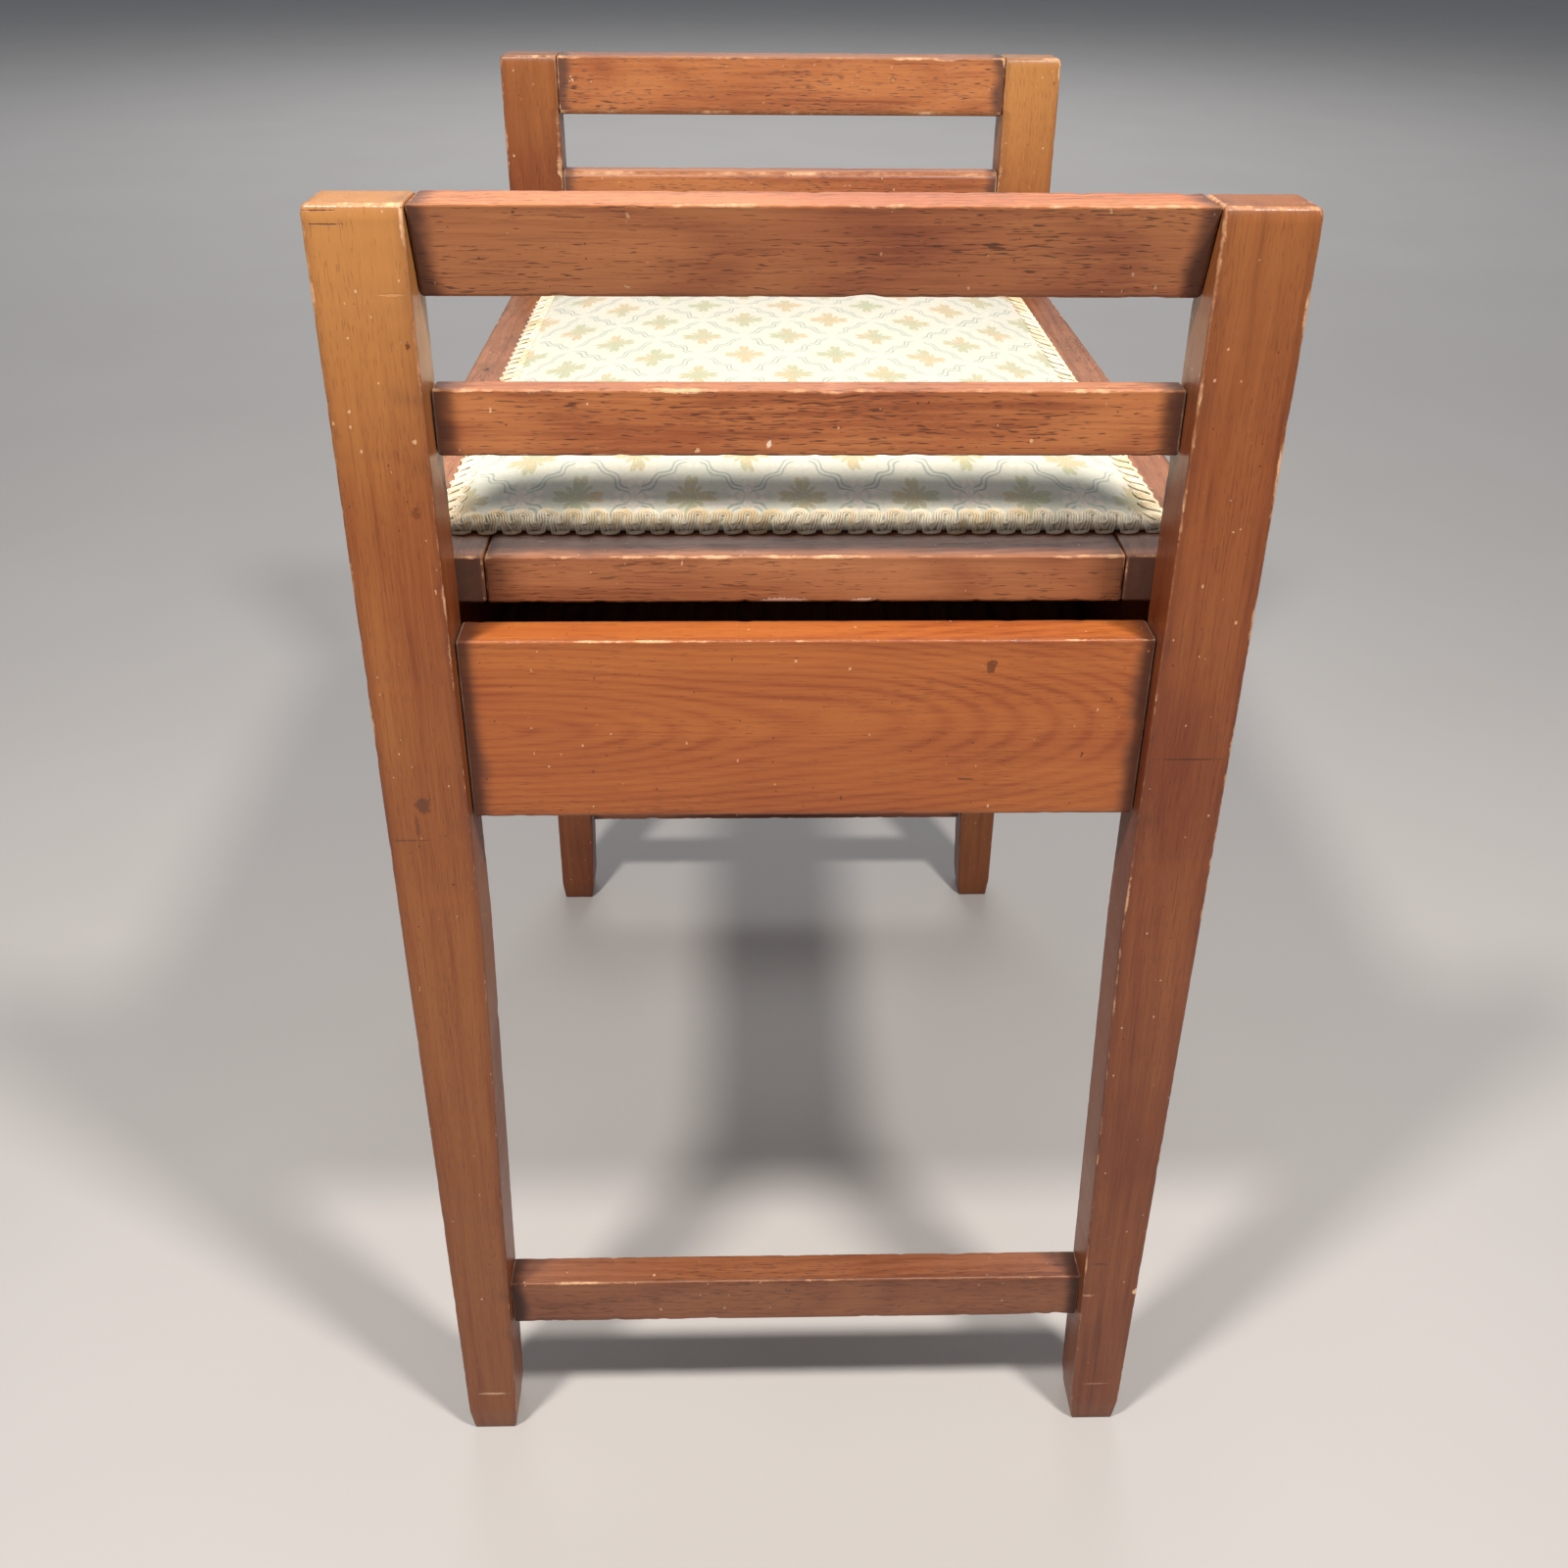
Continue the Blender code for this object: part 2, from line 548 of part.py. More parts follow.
def make_hinge(end_name, back_apron, back_rail):
    # the lid leaf lies under the lid, the frame leaf hangs down the back of the box
    end = ENDS[end_name]
    name = "hinge_" + end_name
    place = Vector((end * HINGE_SPACING / 2, PIN_Y, PIN_Z))
    lid_turn = Matrix(((-1, 0, 0), (0, -1, 0), (0, 0, 1)))
    frame_turn = Matrix(((-1, 0, 0), (0, 0, -1), (0, -1, 0)))
    hole_bm = along_x(PIN_RADIUS + PIN_CLEARANCE, HINGE_LENGTH + 2 * CUT_OVER)
    pin_hole = add_object(name + "_pin_hole", to_mesh(hole_bm, name + "_pin_hole"), None, place)
    pin = add_object(name + "_pin", to_mesh(along_x(PIN_RADIUS, HINGE_LENGTH), name + "_pin"), STEEL, place)
    pin.data.shade_smooth()
    pin.data.set_sharp_from_angle(angle=SMOOTH_ANGLE)
    outward = BARREL_RADIUS - LEAF_THICK
    fittings = {
        "lid": (lid_turn, range(1, KNUCKLES, 2), back_rail, Matrix.Rotation(math.pi, 3, "X"),
                Vector((0.0, -SCREW_SETBACK, outward))),
        "frame": (frame_turn, range(0, KNUCKLES, 2), back_apron, Matrix.Rotation(-math.pi / 2, 3, "X"),
                  Vector((0.0, -outward, -SCREW_SETBACK))),
    }
    for leaf_name, (turn, own, wood, screw_turn, offset) in fittings.items():
        on_lid = leaf_name == "lid"
        holes = []
        for index, shift in ((1, -SCREW_SPACING / 2), (2, SCREW_SPACING / 2)):
            screw_place = place + offset + Vector((shift, 0.0, 0.0))
            screw_name = name + "_" + leaf_name + "_screw_" + str(index)
            turned(screw_name, screw_profile(), SCREW_STEPS, STEEL, screw_place, screw_turn, on_lid)
            hole = turned(screw_name + "_hole", screw_profile(SCREW_CLEARANCE, CUT_OVER), SCREW_STEPS,
                          None, screw_place, screw_turn)
            holes.append(hole)
            combine(wood, hole, "DIFFERENCE")
        make_leaf(name + "_" + leaf_name + "_leaf", place, turn, own, pin_hole, holes, on_lid)
    slot_half = HINGE_LENGTH / 2 + LEAF_CLEARANCE
    slot_low = LID_BOTTOM - FIT - LEAF_THICK - FIT
    slot_in = PIN_Y - LEAF_DEPTH - LEAF_CLEARANCE
    slot = box(name + "_slot", (place.x - slot_half, slot_in, slot_low),
               (place.x + slot_half, LONG_APRON_OUT + CUT_OVER, LID_BOTTOM + CUT_OVER))
    combine(back_apron, slot, "DIFFERENCE")


make_ends()
make_long_apron("front")
apron_at_back = make_long_apron("back")
make_box_bottom()
lid_rails = make_lid_frame()
make_upholstery()
for hinge_end in ENDS:
    make_hinge(hinge_end, apron_at_back, lid_rails["back"])
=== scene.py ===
# Piano bench with raised slatted ends and a lift-up padded seat: the finish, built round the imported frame.
# Metres, +Z up. X runs along the bench, and the end that faces the viewer is at +X.

import math

import bmesh
import bpy
import numpy as np
from mathutils import Matrix, Vector, noise
from mathutils.bvhtree import BVHTree


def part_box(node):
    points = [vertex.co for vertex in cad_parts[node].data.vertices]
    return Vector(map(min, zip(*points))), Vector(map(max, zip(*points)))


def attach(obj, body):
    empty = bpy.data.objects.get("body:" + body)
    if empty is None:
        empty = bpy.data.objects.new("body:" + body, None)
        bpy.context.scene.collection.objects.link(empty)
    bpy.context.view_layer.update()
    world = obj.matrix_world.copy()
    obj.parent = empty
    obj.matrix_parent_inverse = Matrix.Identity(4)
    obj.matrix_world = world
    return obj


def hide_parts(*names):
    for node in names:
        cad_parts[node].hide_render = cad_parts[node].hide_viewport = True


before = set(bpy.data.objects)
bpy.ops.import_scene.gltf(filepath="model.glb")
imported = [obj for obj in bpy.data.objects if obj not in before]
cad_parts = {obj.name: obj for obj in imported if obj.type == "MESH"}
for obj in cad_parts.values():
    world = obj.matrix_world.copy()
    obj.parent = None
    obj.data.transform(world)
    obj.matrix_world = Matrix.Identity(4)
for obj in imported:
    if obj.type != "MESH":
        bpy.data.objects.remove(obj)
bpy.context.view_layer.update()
fit = 0.0003    # gap between pieces that touch
turnRound = 2 * math.pi


class Flow:
    # a socket that takes part in sums, each of which adds its Math node
    def __init__(self, finish, socket):
        self.finish = finish
        self.socket = socket

    def maths(self, operation, first, second):
        return self.finish.maths(operation, first, second)

    def __add__(self, other):
        return self.maths("ADD", self, other)

    def __radd__(self, other):
        return self.maths("ADD", other, self)

    def __sub__(self, other):
        return self.maths("SUBTRACT", self, other)

    def __rsub__(self, other):
        return self.maths("SUBTRACT", other, self)

    def __mul__(self, other):
        return self.maths("MULTIPLY", self, other)

    def __rmul__(self, other):
        return self.maths("MULTIPLY", other, self)

    def __pow__(self, other):
        return self.maths("POWER", self, other)


class Finish:
    # one material, and the ways to add nodes to it
    def __init__(self, name):
        self.material = bpy.data.materials.new(name)
        self.material.use_nodes = True
        self.tree = self.material.node_tree
        self.shader = self.tree.nodes["Principled BSDF"]

    def add(self, kind, settings=None, inputs=None, output=0):
        node = self.tree.nodes.new(kind)
        for key, value in (settings or {}).items():
            setattr(node, key, value)
        for key, value in (inputs or {}).items():
            self.plug(value, node.inputs[key])
        return Flow(self, node.outputs[output])

    def plug(self, value, socket):
        if isinstance(value, Flow):
            self.tree.links.new(value.socket, socket)
        else:
            socket.default_value = value

    def set(self, **inputs):
        for key, value in inputs.items():
            self.plug(value, self.shader.inputs[key.replace("_", " ")])

    def objectPlace(self):
        return self.add("ShaderNodeTexCoord", output="Object")

    def attribute(self, name, output="Vector"):
        return self.add("ShaderNodeAttribute", {"attribute_name": name}, output=output)

    def parts(self, vector):
        first = self.add("ShaderNodeSeparateXYZ", inputs={0: vector})
        return [Flow(self, socket) for socket in first.socket.node.outputs]

    def maths(self, operation, *values):
        return self.add("ShaderNodeMath", {"operation": operation}, dict(enumerate(values)))

    def vector(self, operation, *values, output=0):
        return self.add("ShaderNodeVectorMath", {"operation": operation}, dict(enumerate(values)), output)

    def sine(self, value):
        return self.maths("SINE", value)

    def absolute(self, value):
        return self.maths("ABSOLUTE", value)

    def least(self, first, second):
        return self.maths("MINIMUM", first, second)

    def most(self, first, second):
        return self.maths("MAXIMUM", first, second)

    def smooth(self, value, low, high):
        # 0 at low, 1 at high, with soft ends; low may be above high
        inputs = {"Value": value, "From Min": low, "From Max": high}
        return self.add("ShaderNodeMapRange", {"interpolation_type": "SMOOTHSTEP"}, inputs)

    def noise(self, place, stretch, detail=2.0, rough=0.5):
        place = self.vector("MULTIPLY", place, stretch)
        inputs = {"Vector": place, "Scale": 1.0, "Detail": detail, "Roughness": rough}
        return self.add("ShaderNodeTexNoise", inputs=inputs)

    def mix(self, share, first, second):
        return self.add("ShaderNodeMix", {"data_type": "RGBA"}, {0: share, 6: first, 7: second}, 2)

    def bump(self, height, distance, strength):
        inputs = {"Strength": strength, "Distance": distance, "Height": height}
        self.set(Normal=self.add("ShaderNodeBump", inputs=inputs))


def paint(code):
    # a colour from its usual six-figure name
    channels = []
    for start in (0, 2, 4):
        value = int(code[start:start + 2], 16) / 255
        channels.append(value / 12.92 if value <= 0.04045 else ((value + 0.055) / 1.055) ** 2.4)
    return (*channels, 1.0)


# wear is the width of the pale rubbed line along an arris; topWear widens it on the upper ones; footDark and
# crownGold are partly the wood's own darker foot and paler top, and partly painted shade low down and painted
# light at the top
plainWood = dict(ring=0.006, pith=0.050, slope=0.05, ringShow=0.12, pores=0.75, streaks=0.40, wear=0.0011,
                 topWear=0.9, footDark=0.10, crownGold=0.0, endDark=0.0, grime=0.85, shine=0.40)
railWood = dict(plainWood, light="c07a48", mid="a05a34", dark="753a23", red="93492b", blush=0.50, depth=0.80)
woodLooks = {
    "postGold": dict(plainWood, light="c37a3f", mid="a7592b", dark="824021", red="974b28", blush=0.40,
                     ring=0.0085, pith=0.060, slope=0.02, ringShow=0.08, pores=0.25, streaks=0.55,
                     wear=0.0009, footDark=0.45, crownGold=0.70, depth=0.60, grime=0.5, shine=0.36),
    "postRed": dict(plainWood, light="b36838", mid="964a27", dark="70361d", red="883e22", blush=0.65,
                    ring=0.0085, pith=0.055, slope=0.03, ringShow=0.07, pores=0.25, streaks=0.50,
                    crownGold=0.20, depth=0.56, grime=0.5, shine=0.36),
    "rail": railWood,
    # the near end's top rail is painted lighter than the other rails: painted light that makes up for its
    # face leaning down away from the lamps
    "topRailLit": dict(railWood, depth=1.02),
    "stretcher": dict(plainWood, light="ab6b45", mid="8b4b2f", dark="6a3521", red="80412a", blush=0.55,
                      pores=0.55, wear=0.0010, topWear=0.4, depth=0.66, grime=1.0, shine=0.42),
    "apron": dict(plainWood, light="bd6d34", mid="a45428", dark="8a411f", red="9a4924", blush=0.35,
                  ring=0.0034, pith=0.012, slope=0.16, ringShow=0.13, pores=0.30, streaks=0.45,
                  wear=0.0008, topWear=0.4, depth=0.78, grime=0.75, shine=0.36),
    "lid": dict(plainWood, light="b5764c", mid="985a38", dark="6f3d27", red="8a4d32", blush=0.45,
                ringShow=0.15, pores=0.60, topWear=0.4, endDark=0.75, depth=0.80, grime=0.6, shine=0.45),
    "board": dict(plainWood, light="c9a675", mid="b28b5c", dark="93693f", red="ad8254", blush=0.35,
                  ring=0.011, pith=0.030, slope=0.10, ringShow=0.16, pores=0.30, wear=0.0003,
                  topWear=0.0, footDark=0.0, depth=0.90, grime=0.5, shine=0.75),
}

# noises in the wood: how often they repeat in a metre along the grain and across it, detail, roughness
woodNoises = {
    "bands": ((2.2, 75.0, 75.0), 3.0, 0.55), "fibres": ((14.0, 480.0, 480.0), 4.0, 0.65),
    "threads": ((30.0, 1300.0, 1300.0), 3.0, 0.7), "blotches": ((7.0, 17.0, 17.0), 3.0, 0.55),
    "wander": ((5.0, 9.0, 9.0), 1.0), "dashes": ((150.0, 1500.0, 1500.0), 1.0),
    "crowd": ((14.0, 60.0, 60.0), 1.0), "murk": ((30.0, 60.0, 60.0), 3.0, 0.6),
    "patches": ((36.0, 60.0, 60.0), 5.0, 0.72), "nibbles": ((420.0, 900.0, 900.0), 3.0, 0.65),
    "smears": ((22.0, 22.0, 22.0), 3.0, 0.6), "waves": ((12.0, 40.0, 40.0), 1.0),
    "chips": ((330.0, 330.0, 260.0), 1.0), "pricks": ((420.0, 420.0, 360.0), 1.0),
    "ragged": ((700.0, 700.0, 700.0), 4.0, 0.7),
}

# where each layer starts and is full, then its strength where that is the same on every wood
woodLayers = {
    "dark": (0.60, 1.0, 0.6), "red": (0.42, 0.68), "threadDark": (0.50, 0.70, 0.50),
    "threadLight": (0.47, 0.30, 0.42), "crown": (0.80, 1.0), "pores": (0.60, 0.70),
    "endGrain": (0.0012, 0.0006), "grime": (0.30, 0.95), "bright": (0.45, 0.68),
    "chamferInner": (0.0004, 0.0010), "chamferOuter": (0.0037, 0.0031), "chamferWorn": (0.75, 1.05),
    "soiled": (0.0045, 0.0012, 0.22), "dust": (0.35, 0.75), "chips": (0.765, 0.79, 0.55),
    "pricks": (0.23, 0.21, 0.70), "mark": (1.05, 0.65),
}

woodTints = dict(crown="dd9c58", pore="3c1c10", endGrain="4a3a34", grime="43261d", soiled="5a2f1c",
                 rubbedDull="a06a44", rubbedBright="d3a57c", dust="9a8d80", chips="d8b08c", pricks="3a1c10")
woodFigure = dict(deepWander=0.03, sideWander=0.012, ringRagged=1.6, ringSharp=1.6, fibres=0.35,
                  blotches=0.30, palest=0.30, darkest=0.70, poreCrowd=0.25, murk=0.9, dustMurk=0.5,
                  dustCover=0.55)
rubbing = dict(dullWidth=0.50, brightWidth=0.60, topPower=3.0, nibble=0.0010, dullCover=0.38,
               brightCover=0.50)
woodSurface = dict(smears=0.22, rubbed=0.25, grime=0.22, dust=0.35, waves=0.5, fibres=0.05, nibbles=0.25,
                   hollow=0.25, poreHollow=0.35, markRagged=2.2, relief=0.0009, bump=0.55)

# small dents and scratches: middle, half sizes, colour, strength
marks = {
    "postGold": [((0.269, -0.1480, 0.6047), (0.004, 0.0050, 0.0005), "b98355", 0.6),
                 ((0.269, -0.1692, 0.6327), (0.004, 0.0062, 0.0003), "4a2514", 0.8),
                 ((0.269, -0.1680, 0.6282), (0.004, 0.0068, 0.0003), "4a2514", 0.8),
                 ((0.269, -0.1443, 0.5867), (0.004, 0.0009, 0.0016), "54290f", 0.8),
                 ((0.269, -0.1485, 0.5242), (0.004, 0.0018, 0.0026), "6b3717", 0.8),
                 ((0.269, -0.1594, 0.3968), (0.004, 0.0036, 0.0042), "5d3320", 0.85),
                 ((0.269, -0.1670, 0.3795), (0.004, 0.0080, 0.0005), "54301f", 0.6),
                 ((0.269, -0.1630, 0.3860), (0.004, 0.0010, 0.0060), "54301f", 0.5),
                 ((0.269, -0.1611, 0.0293), (0.004, 0.0085, 0.0009), "caa17d", 0.8)],
    "postRed": [((0.269, 0.1507, 0.0984), (0.004, 0.0030, 0.0008), "c98d63", 0.7),
                ((0.269, 0.1755, 0.1008), (0.004, 0.0022, 0.0022), "efc79c", 0.9),
                ((0.269, 0.1542, 0.1213), (0.004, 0.0038, 0.0006), "42200f", 0.7),
                ((0.269, 0.1590, 0.4169), (0.004, 0.0140, 0.0005), "42200f", 0.7),
                ((0.269, 0.1620, 0.0300), (0.004, 0.0070, 0.0006), "b98a63", 0.5)],
    "apron": [((0.261, 0.0748, 0.4562), (0.004, 0.0022, 0.0038), "5a2c12", 0.8),
              ((0.261, 0.0675, 0.4035), (0.004, 0.0040, 0.0006), "54280f", 0.7)],
    "rail": [((0.2555, -0.0156, 0.5470), (0.004, 0.0009, 0.0015), "e0cdb8", 0.7)],
    "lid": [((0.236, -0.0090, 0.4746), (0.004, 0.0110, 0.0014), "b58d7a", 0.75),
            ((0.236, 0.0240, 0.4745), (0.004, 0.0060, 0.0012), "c9a38c", 0.75),
            ((0.190, -0.1690, 0.4940), (0.0035, 0.0022, 0.004), "38201a", 0.8),
            ((0.080, -0.1700, 0.4940), (0.0030, 0.0020, 0.004), "38201a", 0.7),
            ((-0.040, -0.1680, 0.4940), (0.0040, 0.0018, 0.004), "38201a", 0.7)],
}


def woodFinish(name, look):
    finish = Finish(name)
    place = finish.attribute("place")      # from the middle of the piece: along the grain, then across
    half = finish.attribute("half")
    grown = finish.attribute("grown")      # the same, moved so that no two pieces match
    heightShare = finish.attribute("heightShare", "Fac")      # 0 at the bottom of the piece, 1 at its top
    grimy = finish.attribute("grimy", "Fac")
    dusty = finish.attribute("dusty", "Fac")
    spot = finish.objectPlace()
    along, across, up = finish.parts(place)
    gaps = finish.vector("SUBTRACT", half, finish.vector("ABSOLUTE", place))
    gapAlong, gapAcross, gapUp = finish.parts(gaps)

    def stain(code):
        return (*[channel * look["depth"] for channel in paint(code)[:3]], 1.0)

    def figure(kind, where=grown):
        return finish.noise(where, *woodNoises[kind])

    def layer(kind, value):
        start, full, *strength = woodLayers[kind]
        share = finish.smooth(value, start, full)
        return share * strength[0] if strength else share

    # rings round the pith, with bands, fibres and blotches
    fibres = figure("fibres")
    blotches = figure("blotches")
    wander = figure("wander") - 0.5
    deep = across + look["pith"] + along * look["slope"] + wander * woodFigure["deepWander"]
    side = up + wander * woodFigure["sideWander"]
    reach = (deep * deep + side * side) ** 0.5
    rings = finish.sine(reach * (turnRound / look["ring"]) + fibres * woodFigure["ringRagged"]) * 0.5 + 0.5
    rings = rings ** woodFigure["ringSharp"]
    shares = (look["streaks"], look["ringShow"], woodFigure["fibres"], woodFigure["blotches"])
    mixed = figure("bands") * shares[0] + rings * shares[1] + fibres * shares[2] + blotches * shares[3]
    tone = finish.smooth(mixed, woodFigure["palest"] * sum(shares), woodFigure["darkest"] * sum(shares))
    colour = finish.mix(tone, stain(look["light"]), stain(look["mid"]))
    colour = finish.mix(layer("dark", tone), colour, stain(look["dark"]))
    colour = finish.mix(layer("red", blotches) * look["blush"], colour, stain(look["red"]))

    threads = figure("threads")
    colour = finish.mix(layer("threadDark", threads), colour, stain(look["dark"]))
    colour = finish.mix(layer("threadLight", threads), colour, stain(look["light"]))
    # darker towards the foot and golden towards the top: partly the wood's own tone, partly painted shade and
    # painted light of the lamps falling off down the piece
    colour = finish.mix((1.0 - heightShare) * look["footDark"], colour, stain(look["dark"]))
    colour = finish.mix(layer("crown", heightShare) * look["crownGold"], colour, stain(woodTints["crown"]))

    # pores are short dark dashes along the grain
    pores = layer("pores", figure("dashes") + (figure("crowd") - 0.5) * woodFigure["poreCrowd"])
    colour = finish.mix(pores * look["pores"], colour, paint(woodTints["pore"]))
    colour = finish.mix(layer("endGrain", gapAlong) * look["endDark"], colour, paint(woodTints["endGrain"]))

    # handled places
    murk = figure("murk") - 0.5
    grime = layer("grime", grimy + murk * woodFigure["murk"]) * look["grime"]
    colour = finish.mix(grime, colour, paint(woodTints["grime"]))

    # arrises rubbed through to pale wood, in patches
    arris = finish.most(finish.least(gapAlong, gapAcross),
                        finish.least(finish.most(gapAlong, gapAcross), gapUp))
    patches = figure("patches")
    nibbles = figure("nibbles")
    bright = layer("bright", patches)
    width = bright * rubbing["brightWidth"] + rubbing["dullWidth"]
    width = width * (heightShare ** rubbing["topPower"] * look["topWear"] + 1.0) * look["wear"]
    rubbed = finish.smooth(arris + (nibbles - 0.5) * rubbing["nibble"], width, width * 0.5)
    inside = finish.least(gapAlong, finish.least(gapAcross, gapUp))
    chamfered = layer("chamferInner", inside) * layer("chamferOuter", arris)
    rubbed = finish.most(rubbed, chamfered * layer("chamferWorn", patches + nibbles))
    colour = finish.mix(layer("soiled", arris), colour, paint(woodTints["soiled"]))
    pale = finish.mix(bright, paint(woodTints["rubbedDull"]), paint(woodTints["rubbedBright"]))
    cover = bright * rubbing["brightCover"] + rubbing["dullCover"]
    colour = finish.mix(rubbed * cover, colour, pale)

    dust = layer("dust", dusty + murk * woodFigure["dustMurk"])
    colour = finish.mix(dust * woodFigure["dustCover"], colour, paint(woodTints["dust"]))

    # stray pale chips, dark pinpricks, then single dents and scratches
    for kind in ("chips", "pricks"):
        colour = finish.mix(layer(kind, figure(kind, spot)), colour, paint(woodTints[kind]))
    ragged = (figure("ragged", spot) - 0.5) * woodSurface["markRagged"]
    hollow = pores * woodSurface["poreHollow"]
    for middle, sizes, tint, strength in marks.get(name, []):
        away = finish.vector("DIVIDE", finish.vector("SUBTRACT", spot, middle), sizes)
        struck = layer("mark", finish.vector("LENGTH", away, output="Value") + ragged) * strength
        colour = finish.mix(struck, colour, paint(tint))
        hollow = hollow + struck

    roughness = (figure("smears") - 0.5) * woodSurface["smears"] + look["shine"]
    roughness = roughness + rubbed * woodSurface["rubbed"] + grime * woodSurface["grime"]
    roughness = roughness + dust * woodSurface["dust"]
    finish.set(Base_Color=colour, Roughness=roughness, Coat_Roughness=0.25, IOR=1.48)
    height = figure("waves") * woodSurface["waves"] + fibres * woodSurface["fibres"]
    height = height + nibbles * rubbed * woodSurface["nibbles"] - hollow * woodSurface["hollow"]
    finish.bump(height, woodSurface["relief"], woodSurface["bump"])
    return finish.material


def placeObject(name, data):
    placed = bpy.data.objects.new(name, data)
    bpy.context.scene.collection.objects.link(placed)
    return placed


def meshFrom(bm, name):
    mesh = bpy.data.meshes.new(name)
    bm.to_mesh(mesh)
    bm.free()
    return mesh


def block(low, high):
    bm = bmesh.new()
    bmesh.ops.create_cube(bm, size=1.0)
    bmesh.ops.scale(bm, vec=high - low, verts=bm.verts)
    bmesh.ops.translate(bm, vec=(low + high) / 2, verts=bm.verts)
    return bm


def finishPiece(piece, material, body, slot, *replaced):
    piece.data.materials.append(material)
    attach(piece, body)
    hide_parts(*replaced)


def vectorAttribute(mesh, name, values):
    attribute = mesh.attributes.new(name, "FLOAT_VECTOR", "POINT")
    attribute.data.foreach_set("vector", np.array(values, np.float32).ravel())


def numberAttribute(mesh, name, values):
    attribute = mesh.attributes.new(name, "FLOAT", "POINT")
    attribute.data.foreach_set("value", np.array(values, np.float32))


def fade(value, start, finish):
    # 1 at start falling to 0 at finish, with soft ends
    share = min(max((value - finish) / (start - finish), 0.0), 1.0)
    return share * share * (3 - 2 * share)


# run of the grain, then the two ways across it
grainOrder = {"X": (0, 1, 2), "Y": (1, 0, 2), "Z": (2, 1, 0)}
ease = dict(width=0.0014, mostShare=0.2, segments=3, ringStep=0.0022, fewestCuts=4)
knocks = dict(nickPitch=0.006, nickStart=0.12, nickDepth=0.00055,
              dentPitch=0.0138, dentStart=0.44, dentDepth=0.0018)
apart = (3.7, 1.3, 2.1)     # how far each piece of wood is from the next in its pattern
timbers = []


def bevelEdges(bm, edges, width, segments):
    bmesh.ops.bevel(bm, geom=edges, offset=width, offset_type="OFFSET", segments=segments, profile=0.5,
                    affect="EDGES", clamp_overlap=True, material=-1)


def timber(name, low, high, grain, look, body, slot, chamfers=(), reshape=None, soil=None, nicks=1.0):
    # a squared length of wood: eased arrises, sliced along the grain so that they can be knocked about
    middle = (low + high) / 2
    size = high - low
    run, cross, other = grainOrder[grain]
    bm = block(low, high)
    for sideX, sideZ, width in chamfers:
        corner = (high.x if sideX > 0 else low.x, high.z if sideZ > 0 else low.z)
        edges = [edge for edge in bm.edges
                 if all(abs(vert.co.x - corner[0]) + abs(vert.co.z - corner[1]) < fit for vert in edge.verts)]
        bevelEdges(bm, edges, width, 1)
    bevelEdges(bm, bm.edges[:], min(ease["width"], min(size) * ease["mostShare"]), ease["segments"])
    lengthwise = [edge for edge in bm.edges
                  if abs(edge.verts[0].co[run] - edge.verts[1].co[run]) > size[run] * 0.5]
    cuts = max(int(size[run] / ease["ringStep"]), ease["fewestCuts"])
    bmesh.ops.subdivide_edges(bm, edges=lengthwise, cuts=cuts, use_grid_fill=True)
    bmesh.ops.recalc_face_normals(bm, faces=bm.faces)

    offset = Vector([len(timbers) * step for step in apart])
    places, heightShare, grimy, dusty = [], [], [], []
    for vert in bm.verts:
        place = vert.co - middle
        places.append(Vector((place[run], place[cross], place[other])))
        heightShare.append((vert.co.z - low.z) / size.z)
        soiled, powdered = soil(vert.co) if soil else (0.0, 0.0)
        grimy.append(soiled)
        dusty.append(powdered)
    for vert in bm.verts:
        nearSides = [axis for axis in (cross, other)
                     if size[axis] / 2 - abs(vert.co[axis] - middle[axis]) < ease["width"] * 1.01]
        if len(nearSides) < 2:
            continue
        spotted = vert.co + offset
        nick = max(noise.noise(spotted / knocks["nickPitch"]) - knocks["nickStart"], 0.0)
        dent = max(noise.noise(spotted / knocks["dentPitch"] + offset) - knocks["dentStart"], 0.0)
        loss = (nick * knocks["nickDepth"] + dent * knocks["dentDepth"]) * nicks
        for axis in nearSides:
            vert.co[axis] -= math.copysign(loss, vert.co[axis] - middle[axis])
    if reshape:
        for vert in bm.verts:
            reshape(vert)
    mesh = meshFrom(bm, name)
    vectorAttribute(mesh, "place", places)
    vectorAttribute(mesh, "half", [(size[run] / 2, size[cross] / 2, size[other] / 2)] * len(places))
    vectorAttribute(mesh, "grown", [place + offset for place in places])
    numberAttribute(mesh, "heightShare", heightShare)
    numberAttribute(mesh, "grimy", grimy)
    numberAttribute(mesh, "dusty", dusty)
    mesh.shade_smooth()
    piece = placeObject(name, mesh)
    finishPiece(piece, woods[look], body, slot, name)
    weigh = piece.modifiers.new("flat faces", "WEIGHTED_NORMAL")
    weigh.keep_sharp = True
    timbers.append(piece)
    return piece


leg = dict(taperTop=0.325, footWidth=0.0252, toeHeight=0.015, toeInset=0.0015,
           crownHeight=0.0035, crownInset=0.0014)
window = dict(chamfer=0.0032, railFaceBack=0.0012, railGripBack=0.0135)
soiling = dict(grime=0.016, dust=0.0022, jointReach=0.014, jointGrime=0.55, jointDust=0.2, inward=0.45,
               footHeight=0.03, footGrime=0.5)

postLow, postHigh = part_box("post_back_right")
postWidth = postHigh.y - postLow.y
endFace = postHigh.x        # outer face of an end frame
endInner = postLow.x
sideFace = postHigh.y
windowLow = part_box("mid_rail_right")[1].z
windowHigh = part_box("top_rail_right")[0].z
jointHeights = []
for rail in ("top_rail_right", "mid_rail_right", "end_apron_right", "stretcher_right"):
    railLow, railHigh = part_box(rail)
    jointHeights += [railLow.z, railHigh.z]


